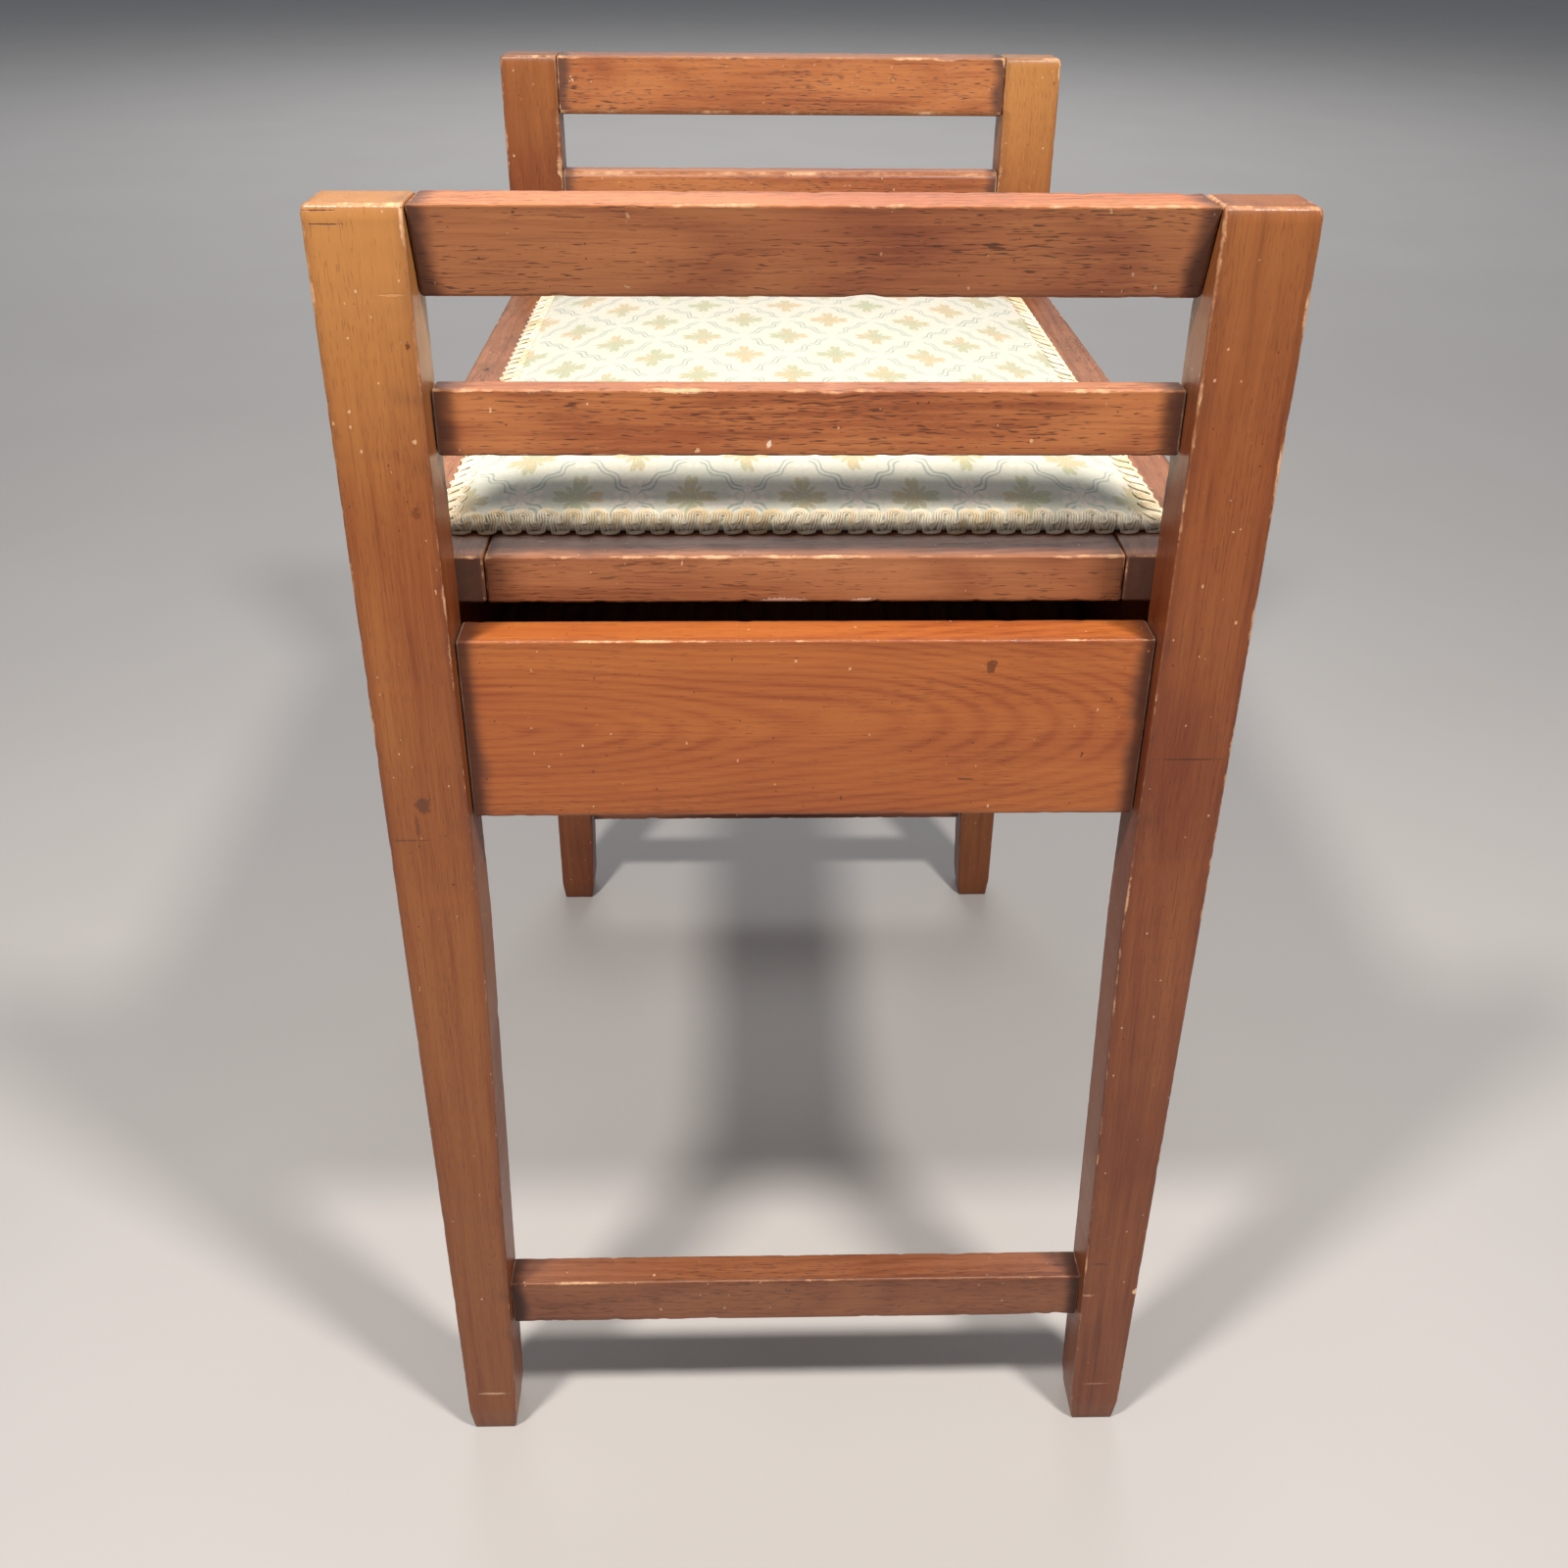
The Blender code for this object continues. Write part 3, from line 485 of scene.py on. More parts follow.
def endSoil(axis, stop, dusting=1.0):
    # grime and dust gather where a rail meets its posts
    def soil(co):
        gap = stop - abs(co[axis])
        return fade(gap, 0.0, soiling["grime"]), fade(gap, 0.0, soiling["dust"]) * dusting

    return soil


def legWidth(z):
    if z >= leg["taperTop"]:
        return postWidth
    return leg["footWidth"] + (postWidth - leg["footWidth"]) * z / leg["taperTop"]


def makePost(side, sideName, end, endName, look):
    name = "post_" + sideName + "_" + endName
    low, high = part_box(name)
    outer = side * sideFace
    inner = outer - side * postWidth
    innerX = end * endInner
    middleX = end * (endInner + endFace) / 2
    nearArris = ease["width"] * 1.2
    grow = window["chamfer"] / ease["width"]

    def reshape(vert):
        z = vert.co.z
        fromOuter = abs(vert.co.y - outer)
        fromInner = postWidth - fromOuter
        fromInnerX = abs(vert.co.x - innerX)
        inWindow = windowLow - window["chamfer"] < z < windowHigh + window["chamfer"]
        if inWindow and fromInner < nearArris and fromInnerX < nearArris:
            vert.co.y = inner + side * fromInner * grow
            vert.co.x = innerX + end * fromInnerX * grow
            fromOuter = abs(vert.co.y - outer)
        vert.co.y = outer - side * fromOuter * legWidth(z) / postWidth
        if z < leg["toeHeight"]:
            tuck = leg["toeInset"] * (1 - z / leg["toeHeight"])
            middleY = outer - side * legWidth(0.0) / 2
            vert.co.x -= math.copysign(tuck, vert.co.x - middleX)
            vert.co.y -= math.copysign(tuck, vert.co.y - middleY)
        if high.z - z < leg["crownHeight"]:
            tuck = leg["crownInset"] * (1 - (high.z - z) / leg["crownHeight"]) ** 2
            vert.co.x -= math.copysign(tuck, vert.co.x - middleX)
            if fromOuter < postWidth / 2:
                vert.co.y -= side * tuck

    def soil(co):
        inward = fade(abs(co.y - inner), 0.0, postWidth * soiling["inward"])
        nearJoint = max(fade(abs(co.z - height), 0.0, soiling["jointReach"]) for height in jointHeights)
        foot = fade(co.z, 0.0, soiling["footHeight"]) * soiling["footGrime"]
        joint = inward * nearJoint
        return max(joint * soiling["jointGrime"], foot), joint * soiling["jointDust"]

    timber(name, low, high, "Z", look, "frame", "post_wood", reshape=reshape, soil=soil, nicks=0.6)


def endRail(kind, end, endName, look, slot, nicks, chamfers=(), slant=False, dusting=1.0):
    name = kind + "_" + endName
    low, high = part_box(name)
    middleZ = (low.z + high.z) / 2
    stop = sideFace - legWidth(middleZ) - fit
    low.y, high.y = -stop, stop

    def reshape(vert):
        vert.co.y += math.copysign(legWidth(middleZ) - legWidth(vert.co.z), vert.co.y)
        if slant:       # the outer face leans in to a finger grip
            outward = (abs(vert.co.x) - endInner) / (high.x - low.x)
            lowered = (high.z - vert.co.z) / (high.z - low.z)
            vert.co.x -= end * (window["railGripBack"] - window["railFaceBack"]) * lowered * outward

    timber(name, low, high, "Y", look, "frame", slot, chamfers, reshape, endSoil(1, stop, dusting), nicks)


def makeEnds():
    postLooks = {("front", "right"): "postGold", ("back", "right"): "postRed",
                 ("front", "left"): "postRed", ("back", "left"): "postGold"}
    # the near end's top rail takes the lighter wood with painted light in it
    topLooks = {"right": "topRailLit", "left": "rail"}
    for endName, end in (("left", -1), ("right", 1)):
        for sideName, side in (("front", -1), ("back", 1)):
            makePost(side, sideName, end, endName, postLooks[sideName, endName])
        below = [(-end, -1, window["chamfer"])]
        above = [(-end, 1, window["chamfer"])]
        endRail("top_rail", end, endName, topLooks[endName], "rail_wood", 1.3, below, slant=True, dusting=0.5)
        endRail("mid_rail", end, endName, "rail", "rail_wood", 1.5, above)
        endRail("end_apron", end, endName, "apron", "apron_wood", 0.7)
        endRail("stretcher", end, endName, "stretcher", "rail_wood", 1.2)


def cutAway(piece, low, high):
    # takes a block out of a finished piece whose grain runs along X
    old = piece.data.attributes
    half = old["half"].data[0].vector.copy()
    shift = old["grown"].data[0].vector - old["place"].data[0].vector
    pieceLow = Vector([min(corner[axis] for corner in piece.bound_box) for axis in range(3)])
    pieceHigh = Vector([max(corner[axis] for corner in piece.bound_box) for axis in range(3)])
    middle = (pieceLow + pieceHigh) / 2
    cutter = placeObject("cutter", meshFrom(block(low, high), "cutter"))
    cut = piece.modifiers.new("cut", "BOOLEAN")
    cut.object = cutter
    cut.operation = "DIFFERENCE"
    cut.solver = "EXACT"
    piece.modifiers.move(len(piece.modifiers) - 1, 0)
    weigh = piece.modifiers["flat faces"]
    weigh.show_viewport = False
    graph = bpy.context.evaluated_depsgraph_get()
    mesh = bpy.data.meshes.new_from_object(piece.evaluated_get(graph), depsgraph=graph)
    weigh.show_viewport = True
    piece.modifiers.remove(cut)
    piece.data = mesh
    for index, vert in enumerate(mesh.vertices):    # the new corners get their place in the wood too
        place = vert.co - middle
        mesh.attributes["place"].data[index].vector = place
        mesh.attributes["half"].data[index].vector = half
        mesh.attributes["grown"].data[index].vector = place + shift
        mesh.attributes["heightShare"].data[index].value = (vert.co.z - pieceLow.z) / (pieceHigh.z - pieceLow.z)
    bpy.data.objects.remove(cutter)


hingeSlot = dict(room=0.0006, deep=0.0016)


def makeBox():
    reach = endInner - fit
    for sideName in ("front", "back"):
        name = sideName + "_apron"
        low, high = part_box(name)
        low.x, high.x = -reach, reach
        soil = endSoil(0, reach)
        apron = timber(name, low, high, "X", "apron", "frame", "apron_wood", soil=soil, nicks=0.7)
    room = hingeSlot["room"]
    for hinge in ("hinge_left", "hinge_right"):     # the back apron, made last, is let in for its hinges
        leafLow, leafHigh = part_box(hinge + "_lid_leaf")
        slotLow = Vector((leafLow.x - room, leafLow.y - room, high.z - hingeSlot["deep"]))
        slotHigh = Vector((leafHigh.x + room, high.y + room, high.z + room))
        cutAway(apron, slotLow, slotHigh)
    boards = [("bottom_board", "X")]
    for sideName, grain in (("front", "X"), ("back", "X"), ("left", "Y"), ("right", "Y")):
        boards.append(("bottom_fillet_" + sideName, grain))
    for name, grain in boards:
        low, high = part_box(name)
        timber(name, low, high, grain, "board", "frame", "board_wood", nicks=0.3)


lidSoiling = dict(topReach=0.003, topGrime=0.55, topDust=0.62, longEnd=(0.012, 0.8), shortEnd=(0.020, 0.7))


def lidSoil(axis, stop, top, ends):
    # dirt at the ends of a lid rail, and along its top beside the braid
    reach, strength = lidSoiling[ends]

    def soil(co):
        endDirt = fade(stop - abs(co[axis]), 0.0, reach) * strength
        topDirt = fade(top - co.z, 0.0, lidSoiling["topReach"]) * lidSoiling["topGrime"]
        return max(endDirt, topDirt), topDirt * lidSoiling["topDust"]

    return soil


def makeLidFrame():
    for sideName in ("front", "back"):
        name = "lid_" + sideName + "_rail"
        low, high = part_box(name)
        soil = lidSoil(0, high.x, high.z, "longEnd")
        timber(name, low, high, "X", "lid", "lid", "lid_wood", soil=soil)
    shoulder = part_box("lid_back_rail")[0].y - fit
    for endName in ("left", "right"):
        name = "lid_" + endName + "_rail"
        low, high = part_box(name)
        low.y, high.y = -shoulder, shoulder
        soil = lidSoil(1, shoulder, high.z, "shortEnd")
        timber(name, low, high, "Y", "lid", "lid", "lid_wood", soil=soil, nicks=1.4)
    low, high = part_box("lid_panel")
    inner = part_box("lid_right_rail")[0].x - fit
    low.x, low.y = -inner, -shoulder
    high.x, high.y, high.z = inner, shoulder, high.z - fit
    timber("lid_panel", low, high, "X", "board", "lid", "board_wood", nicks=0.0)


# the trellis repeats every across by along; sizes in metres, and the trellis's own in parts of a repeat
damask = dict(across=0.048, along=0.076, ground="cacab8", sage="b2bcaf", deep="7f9088", gold="bd9747",
              olive="959a5c", blush="e6d6c4", nap="f3ecd9", thread=0.00045, drift=0.006, driftScale=55.0,
              strandCurls=3.0, strandSwing=0.032, strandApart=0.032, strandEdge=(0.020, 0.007),
              petalRound=0.6, petalLong=0.75, petalEdge=(0.27, 0.12), ringRadius=0.0052,
              ringEdge=(0.0012, 0.0004), curlScale=190.0, curlEdge=(0.09, 0.03))
damaskCover = dict(mottle=0.45, tracery=0.32, trellis=0.80, medal=0.75, ring=0.55, sprig=0.85, vein=0.45,
                   nap=0.5, napLeast=0.12)


def damaskFinish():
    finish = Finish("damask")
    cloth = finish.attribute("cloth")
    inputs = {"Vector": cloth, "Scale": damask["driftScale"]}
    wander = finish.add("ShaderNodeTexNoise", inputs=inputs, output=1)
    drift = (damask["drift"], damask["drift"], 0.0)
    moved = finish.vector("MULTIPLY", finish.vector("SUBTRACT", wander, (0.5, 0.5, 0.5)), drift)
    moved = finish.vector("ADD", cloth, moved)
    along, across, _ = finish.parts(moved)
    across = across * (1 / damask["across"])
    along = along * (1 / damask["along"])
    first = across + along
    second = across - along

    def fold(value):
        # distance to the nearest whole number
        return finish.maths("PINGPONG", value, 0.5)

    def strand(value, other):
        # a scrolling pair of lines that follows a whole number of value
        scroll = finish.sine(other * (turnRound * damask["strandCurls"])) * damask["strandSwing"]
        apartBy = finish.absolute(fold(value + scroll) - damask["strandApart"])
        return finish.smooth(apartBy, *damask["strandEdge"])

    def bloom(offset, petals, size, turn):
        # petals round the points where both counts are whole, moved by offset
        u = fold(first + offset)
        v = fold(second + offset)
        right = (u + v) * 0.5 * damask["across"]
        ahead = finish.absolute(u - v) * 0.5 * damask["along"]
        far = (right * right + ahead * ahead) ** 0.5
        angle = finish.maths("ARCTAN2", ahead, right)
        lobes = finish.absolute(finish.sine(angle * petals + turn)) ** damask["petalRound"]
        outer, inner = damask["petalEdge"]
        petal = finish.smooth(far - lobes * size * damask["petalLong"], size * outer, size * inner)
        return far, lobes, petal

    def masked(value, edge):
        return finish.smooth(value, *edge)

    trellis = finish.most(strand(first, second), strand(second, first))
    _, lobes, sprig = bloom(0.5, 3.5, 0.0115, 0.6)
    medalFar, _, medal = bloom(0.0, 3.0, 0.0095, 0.2)
    ringed = masked(finish.absolute(medalFar - damask["ringRadius"]), damask["ringEdge"])
    curls = finish.add("ShaderNodeTexVoronoi", {"feature": "DISTANCE_TO_EDGE"},
                       {"Vector": moved, "Scale": damask["curlScale"]}, "Distance")
    tracery = masked(curls, damask["curlEdge"])
    mottles = finish.noise(cloth, (22.0, 22.0, 1.0), 3.0, 0.6)
    fine = finish.noise(cloth, (900.0, 900.0, 1.0))

    colour = finish.mix(masked(mottles, (0.35, 0.70)) * damaskCover["mottle"], paint(damask["ground"]),
                        paint(damask["blush"]))
    colour = finish.mix(tracery * damaskCover["tracery"], colour, paint(damask["sage"]))
    colour = finish.mix(trellis * damaskCover["trellis"], colour, paint(damask["deep"]))
    colour = finish.mix(medal * damaskCover["medal"], colour, paint(damask["blush"]))
    colour = finish.mix(ringed * damaskCover["ring"], colour, paint(damask["sage"]))
    leafTint = finish.mix(masked(mottles, (0.40, 0.62)), paint(damask["olive"]), paint(damask["gold"]))
    colour = finish.mix(sprig * masked(fine, (0.25, 0.55)) * damaskCover["sprig"], colour, leafTint)
    veins = sprig * masked(lobes, (0.55, 0.30))
    colour = finish.mix(veins * damaskCover["vein"], colour, paint(damask["deep"]))
    nap = (fine - 0.5) * damaskCover["nap"] + damaskCover["napLeast"]
    colour = finish.mix(nap, colour, paint(damask["nap"]))
    raised = trellis * 0.6 + sprig * 0.8 + medal * 0.6 + tracery * 0.2
    ribX, ribY, _ = finish.parts(cloth)
    turn = turnRound / damask["thread"]
    ribs = finish.sine(ribX * turn) * finish.sine(ribY * turn)
    finish.set(Base_Color=colour, Roughness=0.78 - raised * 0.16, Sheen_Weight=0.25, Sheen_Roughness=0.4)
    finish.bump(raised * 0.6 + ribs * 0.25 + fine * 0.3, 0.0005, 0.6)
    return finish.material


padLook = dict(step=0.0040, cornerRadius=0.010, reach=0.100, edge=0.0030, crown=0.0135, power=2.2,
               lump=0.0007, lumpPitch=0.055, pucker=0.0005, puckerPitch=0.021, puckerStart=0.003,
               puckerReach=0.030, blend=0.030)
stuffing = dict(pressure=4.0, frames=20, mostSwell=0.0045, quality=6, mass=0.25, stretch=18.0, shear=6.0,
                bend=1.2)


def padInset(x, y, halfX, halfY):
    # distance in from the edge, with the two sides' distances run softly together
    fromX, fromY = halfX - abs(x), halfY - abs(y)
    share = max(padLook["blend"] - abs(fromX - fromY), 0.0) / padLook["blend"]
    return min(fromX, fromY) - share * share * padLook["blend"] * 0.25


def makePad():
    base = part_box("lid_back_rail")[1].z + fit
    halfX, halfY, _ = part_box("seat_cover")[1]
    bm = bmesh.new()
    countX = int(2 * halfX / padLook["step"])
    countY = int(2 * halfY / padLook["step"])
    bmesh.ops.create_grid(bm, x_segments=countX, y_segments=countY, size=1.0)
    flat = bm.verts.layers.float_vector.new("cloth")
    radius = padLook["cornerRadius"]
    for vert in bm.verts:
        x, y = vert.co.x * halfX, vert.co.y * halfY
        overX = max(abs(x) - (halfX - radius), 0.0)
        overY = max(abs(y) - (halfY - radius), 0.0)
        away = math.hypot(overX, overY)
        if away > 0.0:      # the square corner is drawn in to a round one
            draw = max(overX, overY) / away
            x -= math.copysign(overX * (1 - draw), x)
            y -= math.copysign(overY * (1 - draw), y)
        inset = max(padInset(x, y, halfX, halfY), 0.0)
        rest = 1.0 - min(inset / padLook["reach"], 1.0)
        height = padLook["edge"] + padLook["crown"] * (1.0 - rest ** padLook["power"])
        height += noise.noise(Vector((x, y, 0.3)) / padLook["lumpPitch"]) * padLook["lump"] * (1.0 - rest)
        if inset > padLook["puckerStart"]:      # small pulls beside the braid
            edgeRun = x + y if halfX - abs(x) > halfY - abs(y) else y - x
            pulled = fade(inset, 0.0, padLook["puckerReach"])
            height += math.sin(edgeRun * turnRound / padLook["puckerPitch"]) * padLook["pucker"] * pulled
        vert[flat] = (x, y, 0.0)
        vert.co = (x, y, base + height)
    bm.verts.index_update()
    edgeVerts = [vert.index for vert in bm.verts if vert.is_boundary]
    pad = placeObject("seat_pad", meshFrom(bm, "seat_pad"))
    swell(pad, edgeVerts)

    # closed below by a flat copy of the same grid, joined to it edge to edge
    bm = bmesh.new()
    bm.from_mesh(pad.data)
    copied = bmesh.ops.duplicate(bm, geom=bm.verts[:] + bm.edges[:] + bm.faces[:])["geom"]
    for item in copied:
        if isinstance(item, bmesh.types.BMVert):
            item.co.z = base
    lowerFaces = [item for item in copied if isinstance(item, bmesh.types.BMFace)]
    bmesh.ops.reverse_faces(bm, faces=lowerFaces)
    bmesh.ops.bridge_loops(bm, edges=[edge for edge in bm.edges if edge.is_boundary])
    bmesh.ops.recalc_face_normals(bm, faces=bm.faces)
    bm.to_mesh(pad.data)
    bm.free()
    pad.data.shade_smooth()
    pad.data.materials.append(damaskFinish())
    finer = pad.modifiers.new("finer", "SUBSURF")
    finer.levels = 1
    finer.render_levels = 1
    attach(pad, "lid")
    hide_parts("seat_padding", "seat_cover")
    return pad


def swell(pad, edgeVerts):
    # the stuffing pushes the cover up between its tacked edges
    pinned = pad.vertex_groups.new(name="tacked")
    pinned.add(edgeVerts, 1.0, "REPLACE")
    cloth = pad.modifiers.new("cloth", "CLOTH")
    settings = cloth.settings
    settings.quality = stuffing["quality"]
    settings.mass = stuffing["mass"]
    settings.tension_stiffness = stuffing["stretch"]
    settings.compression_stiffness = stuffing["stretch"]
    settings.shear_stiffness = stuffing["shear"]
    settings.bending_stiffness = stuffing["bend"]
    settings.vertex_group_mass = "tacked"
    settings.use_pressure = True
    settings.uniform_pressure_force = stuffing["pressure"]
    settings.effector_weights.gravity = 0.0
    cloth.collision_settings.use_collision = False
    cloth.point_cache.frame_start = 1
    cloth.point_cache.frame_end = stuffing["frames"]
    scene = bpy.context.scene
    for step in range(1, stuffing["frames"] + 1):
        scene.frame_set(step)
    graph = bpy.context.evaluated_depsgraph_get()
    swollen = pad.evaluated_get(graph).data
    moves = []
    for vert, grown in zip(pad.data.vertices, swollen.vertices):
        move = grown.co - vert.co
        if move.length > stuffing["mostSwell"]:
            move = move.normalized() * stuffing["mostSwell"]
        moves.append(move)
    print("seat: the cover rose by up to", round(max(move.length for move in moves) * 1000, 2), "mm")
    pad.modifiers.remove(cloth)
    for vert, move in zip(pad.data.vertices, moves):
        vert.co += move
    pad.vertex_groups.clear()
    scene.frame_set(1)


braidLook = dict(pitch=0.0104, swing=0.0046, curl=0.00115, lean=0.45, leanPhase=0.6, leanTurns=3, wobble=0.25,
                 wobbleRate=30, leanShare=0.6, uneven=0.08, unevenRate=90, cords=4, spacing=0.00108,
                 radius=0.00048, steps=20, lookAhead=0.05, lift=0.00045, outerDrop=0.22, cornerRadius=0.0075)
braidPaint = dict(cream="f2e8d0", straw="d9c39a", twist="bfa273", twistShare=0.30)


def braidFinish():
    finish = Finish("gimp")
    spot = finish.objectPlace()
    soft = finish.noise(spot, (45.0, 45.0, 45.0), 3.0, 0.6)
    twist = finish.noise(spot, (1400.0, 1400.0, 1400.0))
    strawy = finish.smooth(soft, 0.38, 0.66)
    colour = finish.mix(strawy, paint(braidPaint["cream"]), paint(braidPaint["straw"]))
    twisted = finish.smooth(twist, 0.35, 0.65) * braidPaint["twistShare"]
    colour = finish.mix(twisted, colour, paint(braidPaint["twist"]))
    finish.set(Base_Color=colour, Roughness=0.72 - twist * 0.15, Sheen_Weight=0.3, Sheen_Roughness=0.4)
    finish.bump(twist, 0.0003, 0.6)
    return finish.material


def edgeLine(halfX, halfY, radius):
    # a rounded rectangle by distance along it: returns its length and a function giving point and outward
    quarter = radius * math.pi / 2
    runs = []
    for corner, (outX, outY) in enumerate([(1, 0), (0, 1), (-1, 0), (0, -1)]):
        outward = Vector((outX, outY))
        ahead = Vector((-outY, outX))
        straight = 2 * ((halfY if outX else halfX) - radius)
        start = outward * (halfX if outX else halfY) - ahead * straight / 2
        centre = start + ahead * straight - outward * radius
        runs.append((straight, start, ahead, outward, centre, corner * math.pi / 2))
    total = sum(run[0] + quarter for run in runs)

    def at(distance):
        distance %= total
        for straight, start, ahead, outward, centre, angle in runs:
            if distance <= straight:
                return start + ahead * distance, outward
            distance -= straight
            if distance <= quarter:
                break
            distance -= quarter
        angle += distance / radius
        outward = Vector((math.cos(angle), math.sin(angle)))
        return centre + outward * radius, outward

    return total, at


def makeBraid(pad):
    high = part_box("gimp_braid")[1]
    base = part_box("lid_back_rail")[1].z
    middleCord = (braidLook["cords"] - 1) / 2
    half = braidLook["swing"] + middleCord * braidLook["spacing"] + braidLook["radius"]
    total, at = edgeLine(high.x - half, high.y - half, braidLook["cornerRadius"])
    waves = round(total / braidLook["pitch"])
    pitch = total / waves
    ground = BVHTree.FromObject(pad, bpy.context.evaluated_depsgraph_get())

    def surface(point):
        hit = ground.ray_cast(Vector((point.x, point.y, high.z + 0.1)), Vector((0, 0, -1)))[0]
        return max(hit.z, base) if hit else base

    def centre(turn):
        # place along and across the braid at a turn of the wave
        run = pitch * turn / turnRound
        wobble = noise.noise(Vector((run * braidLook["wobbleRate"], 0.5, 0.0))) * braidLook["wobble"]
        leaned = math.cos(run * turnRound / total * braidLook["leanTurns"] + braidLook["leanPhase"])
        lean = braidLook["lean"] * leaned + wobble
        uneven = braidLook["uneven"] * noise.noise(Vector((run * braidLook["unevenRate"], 4.5, 0.0)))
        out = braidLook["swing"] * (1 + uneven) * math.cos(turn)
        along = run + braidLook["curl"] * math.sin(2 * turn) + lean * out * braidLook["leanShare"]
        return Vector((along, out))

    curve = bpy.data.curves.new("gimp", "CURVE")
    curve.dimensions = "3D"
    curve.bevel_depth = braidLook["radius"]
    curve.bevel_resolution = 1
    for cord in range(braidLook["cords"]):
        aside = (cord - middleCord) * braidLook["spacing"]
        points = []
        for index in range(waves * braidLook["steps"]):
            turn = turnRound * index / braidLook["steps"]
            here = centre(turn)
            ahead = centre(turn + braidLook["lookAhead"]) - here
            spot = here + Vector((-ahead.y, ahead.x)).normalized() * aside
            point, outward = at(spot.x)
            point = point + outward * spot.y
            lift = braidLook["lift"] * (1 + math.sin(turn)) - abs(aside) * braidLook["outerDrop"]
            points.append((point.x, point.y, surface(point) + braidLook["radius"] + lift))
        spline = curve.splines.new("POLY")
        spline.points.add(len(points) - 1)
        for target, point in zip(spline.points, points):
            target.co = (*point, 1.0)
        spline.use_cyclic_u = True
    braidCurve = placeObject("gimp", curve)
    graph = bpy.context.evaluated_depsgraph_get()
    mesh = bpy.data.meshes.new_from_object(braidCurve.evaluated_get(graph))
    bpy.data.objects.remove(braidCurve)
    mesh.materials.clear()
    mesh.shade_smooth()
    finishPiece(placeObject("gimp_braid_cords", mesh), braidFinish(), "lid", "gimp", "gimp_braid")
    print("braid:", waves, "waves,", len(mesh.polygons), "faces")


brassLook = dict(fresh="a8854a", dull="7a6038", rough=0.42, stained=0.35, brushed=0.2)
steelLook = dict(fresh="8d8983", rust="5b3f2c", rough=0.45, rusted=0.4)


def brassFinish():
    finish = Finish("brass")
    spot = finish.objectPlace()
    stain = finish.noise(spot, (160.0, 160.0, 160.0), 4.0, 0.6)
    brushed = finish.noise(spot, (30.0, 900.0, 900.0))
    stained = finish.smooth(stain, 0.40, 0.65)
    colour = finish.mix(stained, paint(brassLook["fresh"]), paint(brassLook["dull"]))
    roughness = (stain - 0.5) * brassLook["stained"] + (brushed - 0.5) * brassLook["brushed"]
    finish.set(Base_Color=colour, Roughness=roughness + brassLook["rough"], Metallic=1.0)
    finish.bump(stain * 0.5 + brushed * 0.3, 0.0002, 0.5)
    return finish.material


def steelFinish():
    finish = Finish("steel")
    rust = finish.noise(finish.objectPlace(), (500.0, 500.0, 500.0), 4.0, 0.65)
    colour = finish.mix(finish.smooth(rust, 0.45, 0.62), paint(steelLook["fresh"]), paint(steelLook["rust"]))
    roughness = (rust - 0.5) * steelLook["rusted"] + steelLook["rough"]
    finish.set(Base_Color=colour, Roughness=roughness, Metallic=1.0 - rust * 0.3)
    finish.bump(rust, 0.0002, 0.5)
    return finish.material


def makeHinges():
    brass, steel = brassFinish(), steelFinish()
    for name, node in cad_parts.items():
        if name.startswith("hinge_"):
            metal = brass if name.endswith("leaf") else steel
            node.data.materials.clear()
            node.data.materials.append(metal)


studio = dict(keyPlace=(0.80, 0.52, 1.60), keyAim=(0.1, 0.0, 0.4), keySize=0.18, keyPower=22.5,
              warm=(1.0, 0.955, 0.90), backPlace=(-4.5, 0.0, 4.0), backAim=(-4.2, 0.0, 0.0), backSize=4.0,
              backPower=150.0, white=(1.0, 1.0, 1.0), sky=(0.82, 0.90, 1.0), skyStrength=0.22,
              floorReach=15.0, floorDark="b2adaa", floorPale="b9b5b2", floorRough=0.75)
viewpoint = dict(place=(0.8263, -0.0254, 0.7314), yaw=0.02898, pitch=0.52798, roll=0.00918, lens=35.65,
                 nearest=0.01)


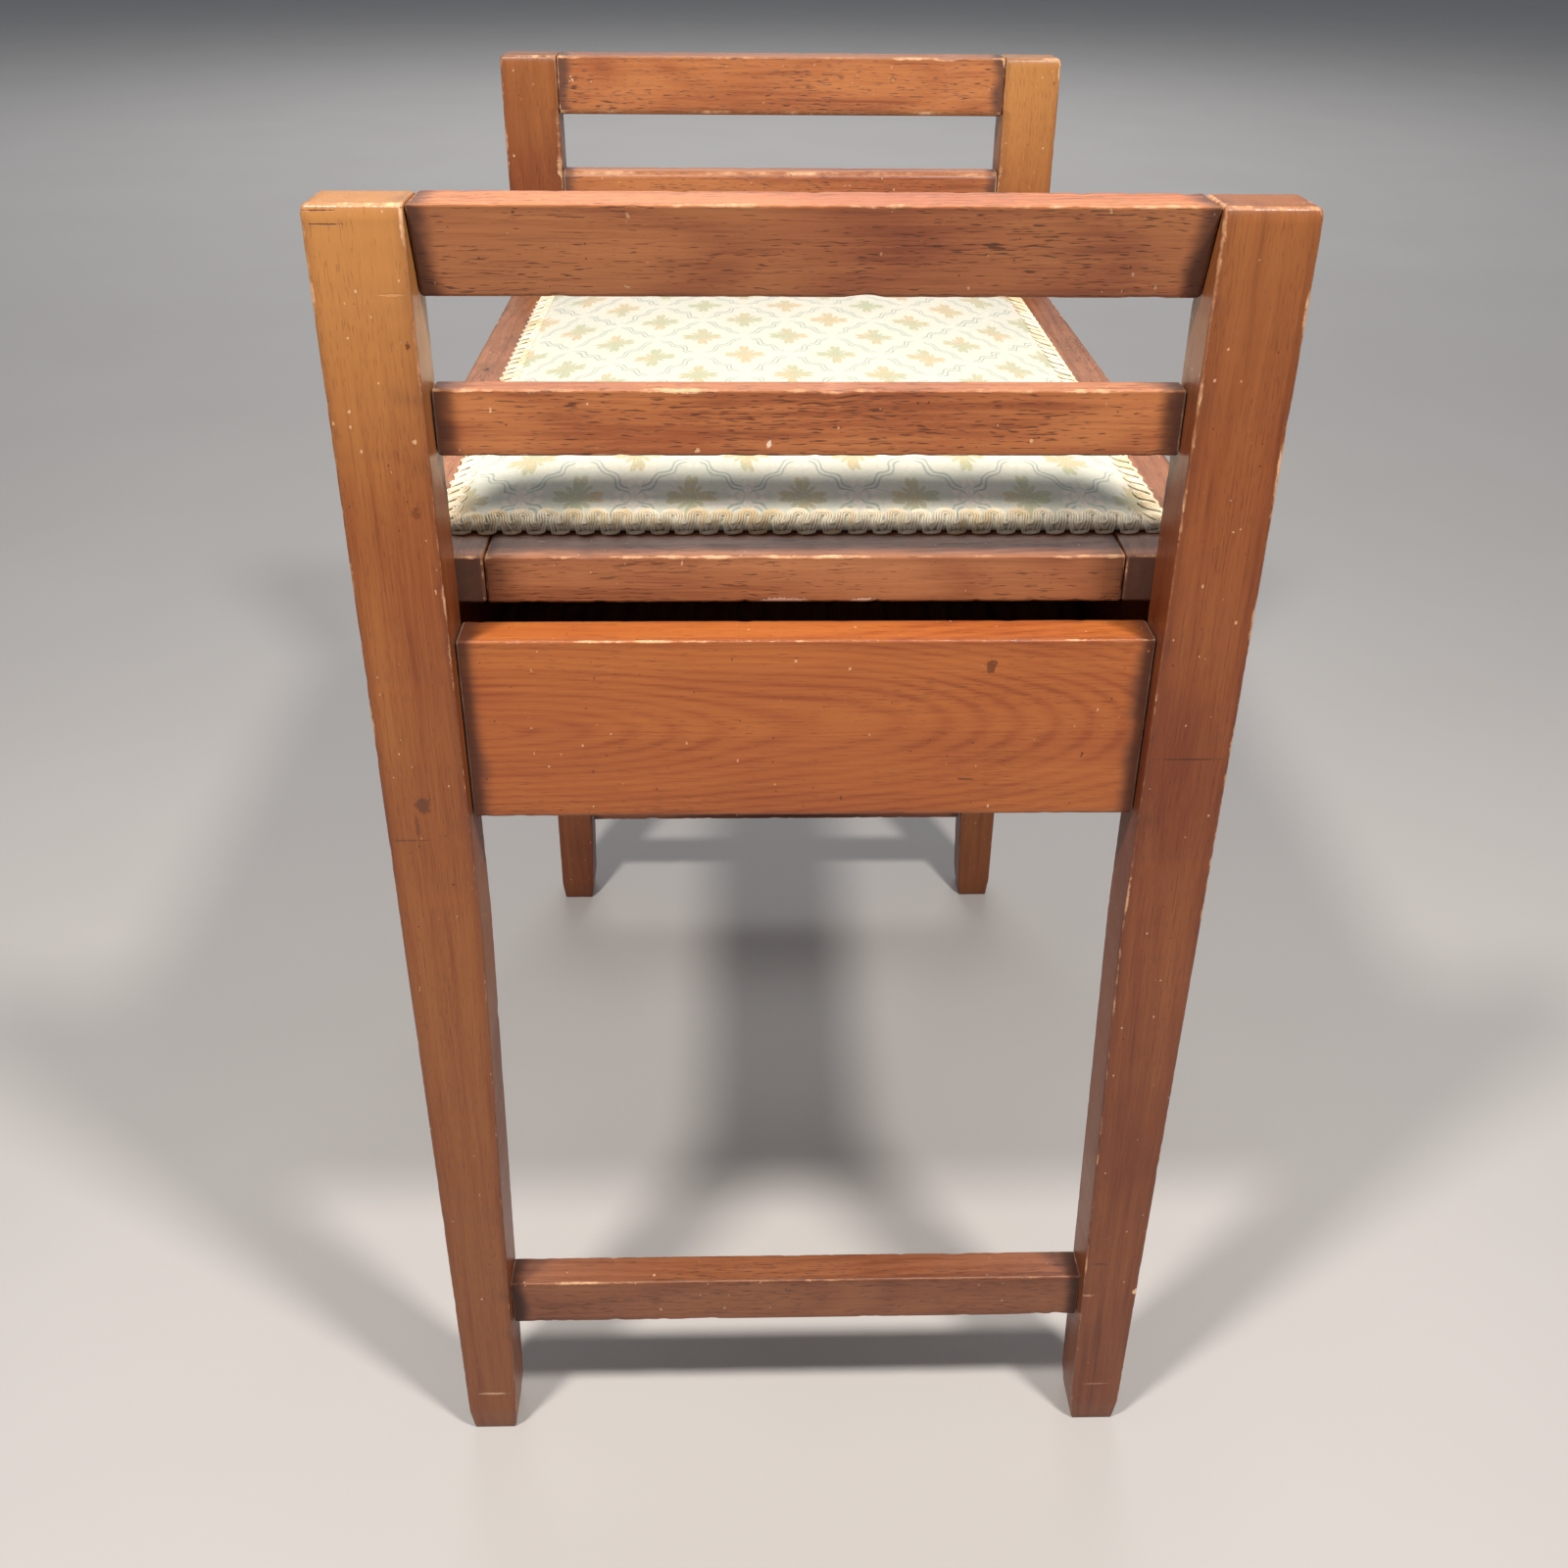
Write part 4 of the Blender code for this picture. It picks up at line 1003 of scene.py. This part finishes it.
def floorFinish():
    finish = Finish("floor")
    clouds = finish.noise(finish.objectPlace(), (3.0, 3.0, 3.0), 3.0)
    colour = finish.mix(clouds, paint(studio["floorDark"]), paint(studio["floorPale"]))
    finish.set(Base_Color=colour, Roughness=studio["floorRough"])
    return finish.material


def addLight(name, place, aim, size, power, colour):
    data = bpy.data.lights.new(name, "AREA")
    data.shape = "DISK"
    data.size = size
    data.energy = power
    data.color = colour
    light = placeObject(name, data)
    light.location = place
    light.rotation_euler = (Vector(aim) - Vector(place)).to_track_quat("-Z", "Y").to_euler()


def makeStudio():
    bm = bmesh.new()
    bmesh.ops.create_grid(bm, x_segments=1, y_segments=1, size=studio["floorReach"])
    floor = placeObject("floor", meshFrom(bm, "floor"))
    floor.data.materials.append(floorFinish())
    x, y, z = studio["keyPlace"]
    for name, side in (("key_left", -1), ("key_right", 1)):
        place = (x, side * y, z)
        addLight(name, place, studio["keyAim"], studio["keySize"], studio["keyPower"], studio["warm"])
    addLight("back", studio["backPlace"], studio["backAim"], studio["backSize"], studio["backPower"],
             studio["white"])
    world = bpy.data.worlds.new("studio")
    world.use_nodes = True
    background = world.node_tree.nodes["Background"]
    background.inputs["Color"].default_value = (*studio["sky"], 1.0)
    background.inputs["Strength"].default_value = studio["skyStrength"]
    bpy.context.scene.world = world
    bpy.context.scene.view_settings.view_transform = "Standard"


def makeCamera():
    data = bpy.data.cameras.new("camera")
    data.lens = viewpoint["lens"]
    data.clip_start = viewpoint["nearest"]
    camera = placeObject("camera", data)
    yaw, pitch = viewpoint["yaw"], viewpoint["pitch"]
    ahead = Vector((-math.cos(yaw) * math.cos(pitch), math.sin(yaw) * math.cos(pitch), -math.sin(pitch)))
    turn = ahead.to_track_quat("-Z", "Y").to_matrix().to_4x4() @ Matrix.Rotation(viewpoint["roll"], 4, "Z")
    camera.matrix_world = Matrix.Translation(viewpoint["place"]) @ turn
    bpy.context.scene.camera = camera


makeCamera()
makeStudio()
print("camera, floor and lights made")
woods = {name: woodFinish(name, look) for name, look in woodLooks.items()}
print("wood finishes made")
makeEnds()
print("end frames made")
makeBox()
makeLidFrame()
print("box and lid made")
seatPad = makePad()
makeBraid(seatPad)
print("seat made")
makeHinges()
print("hinges finished")
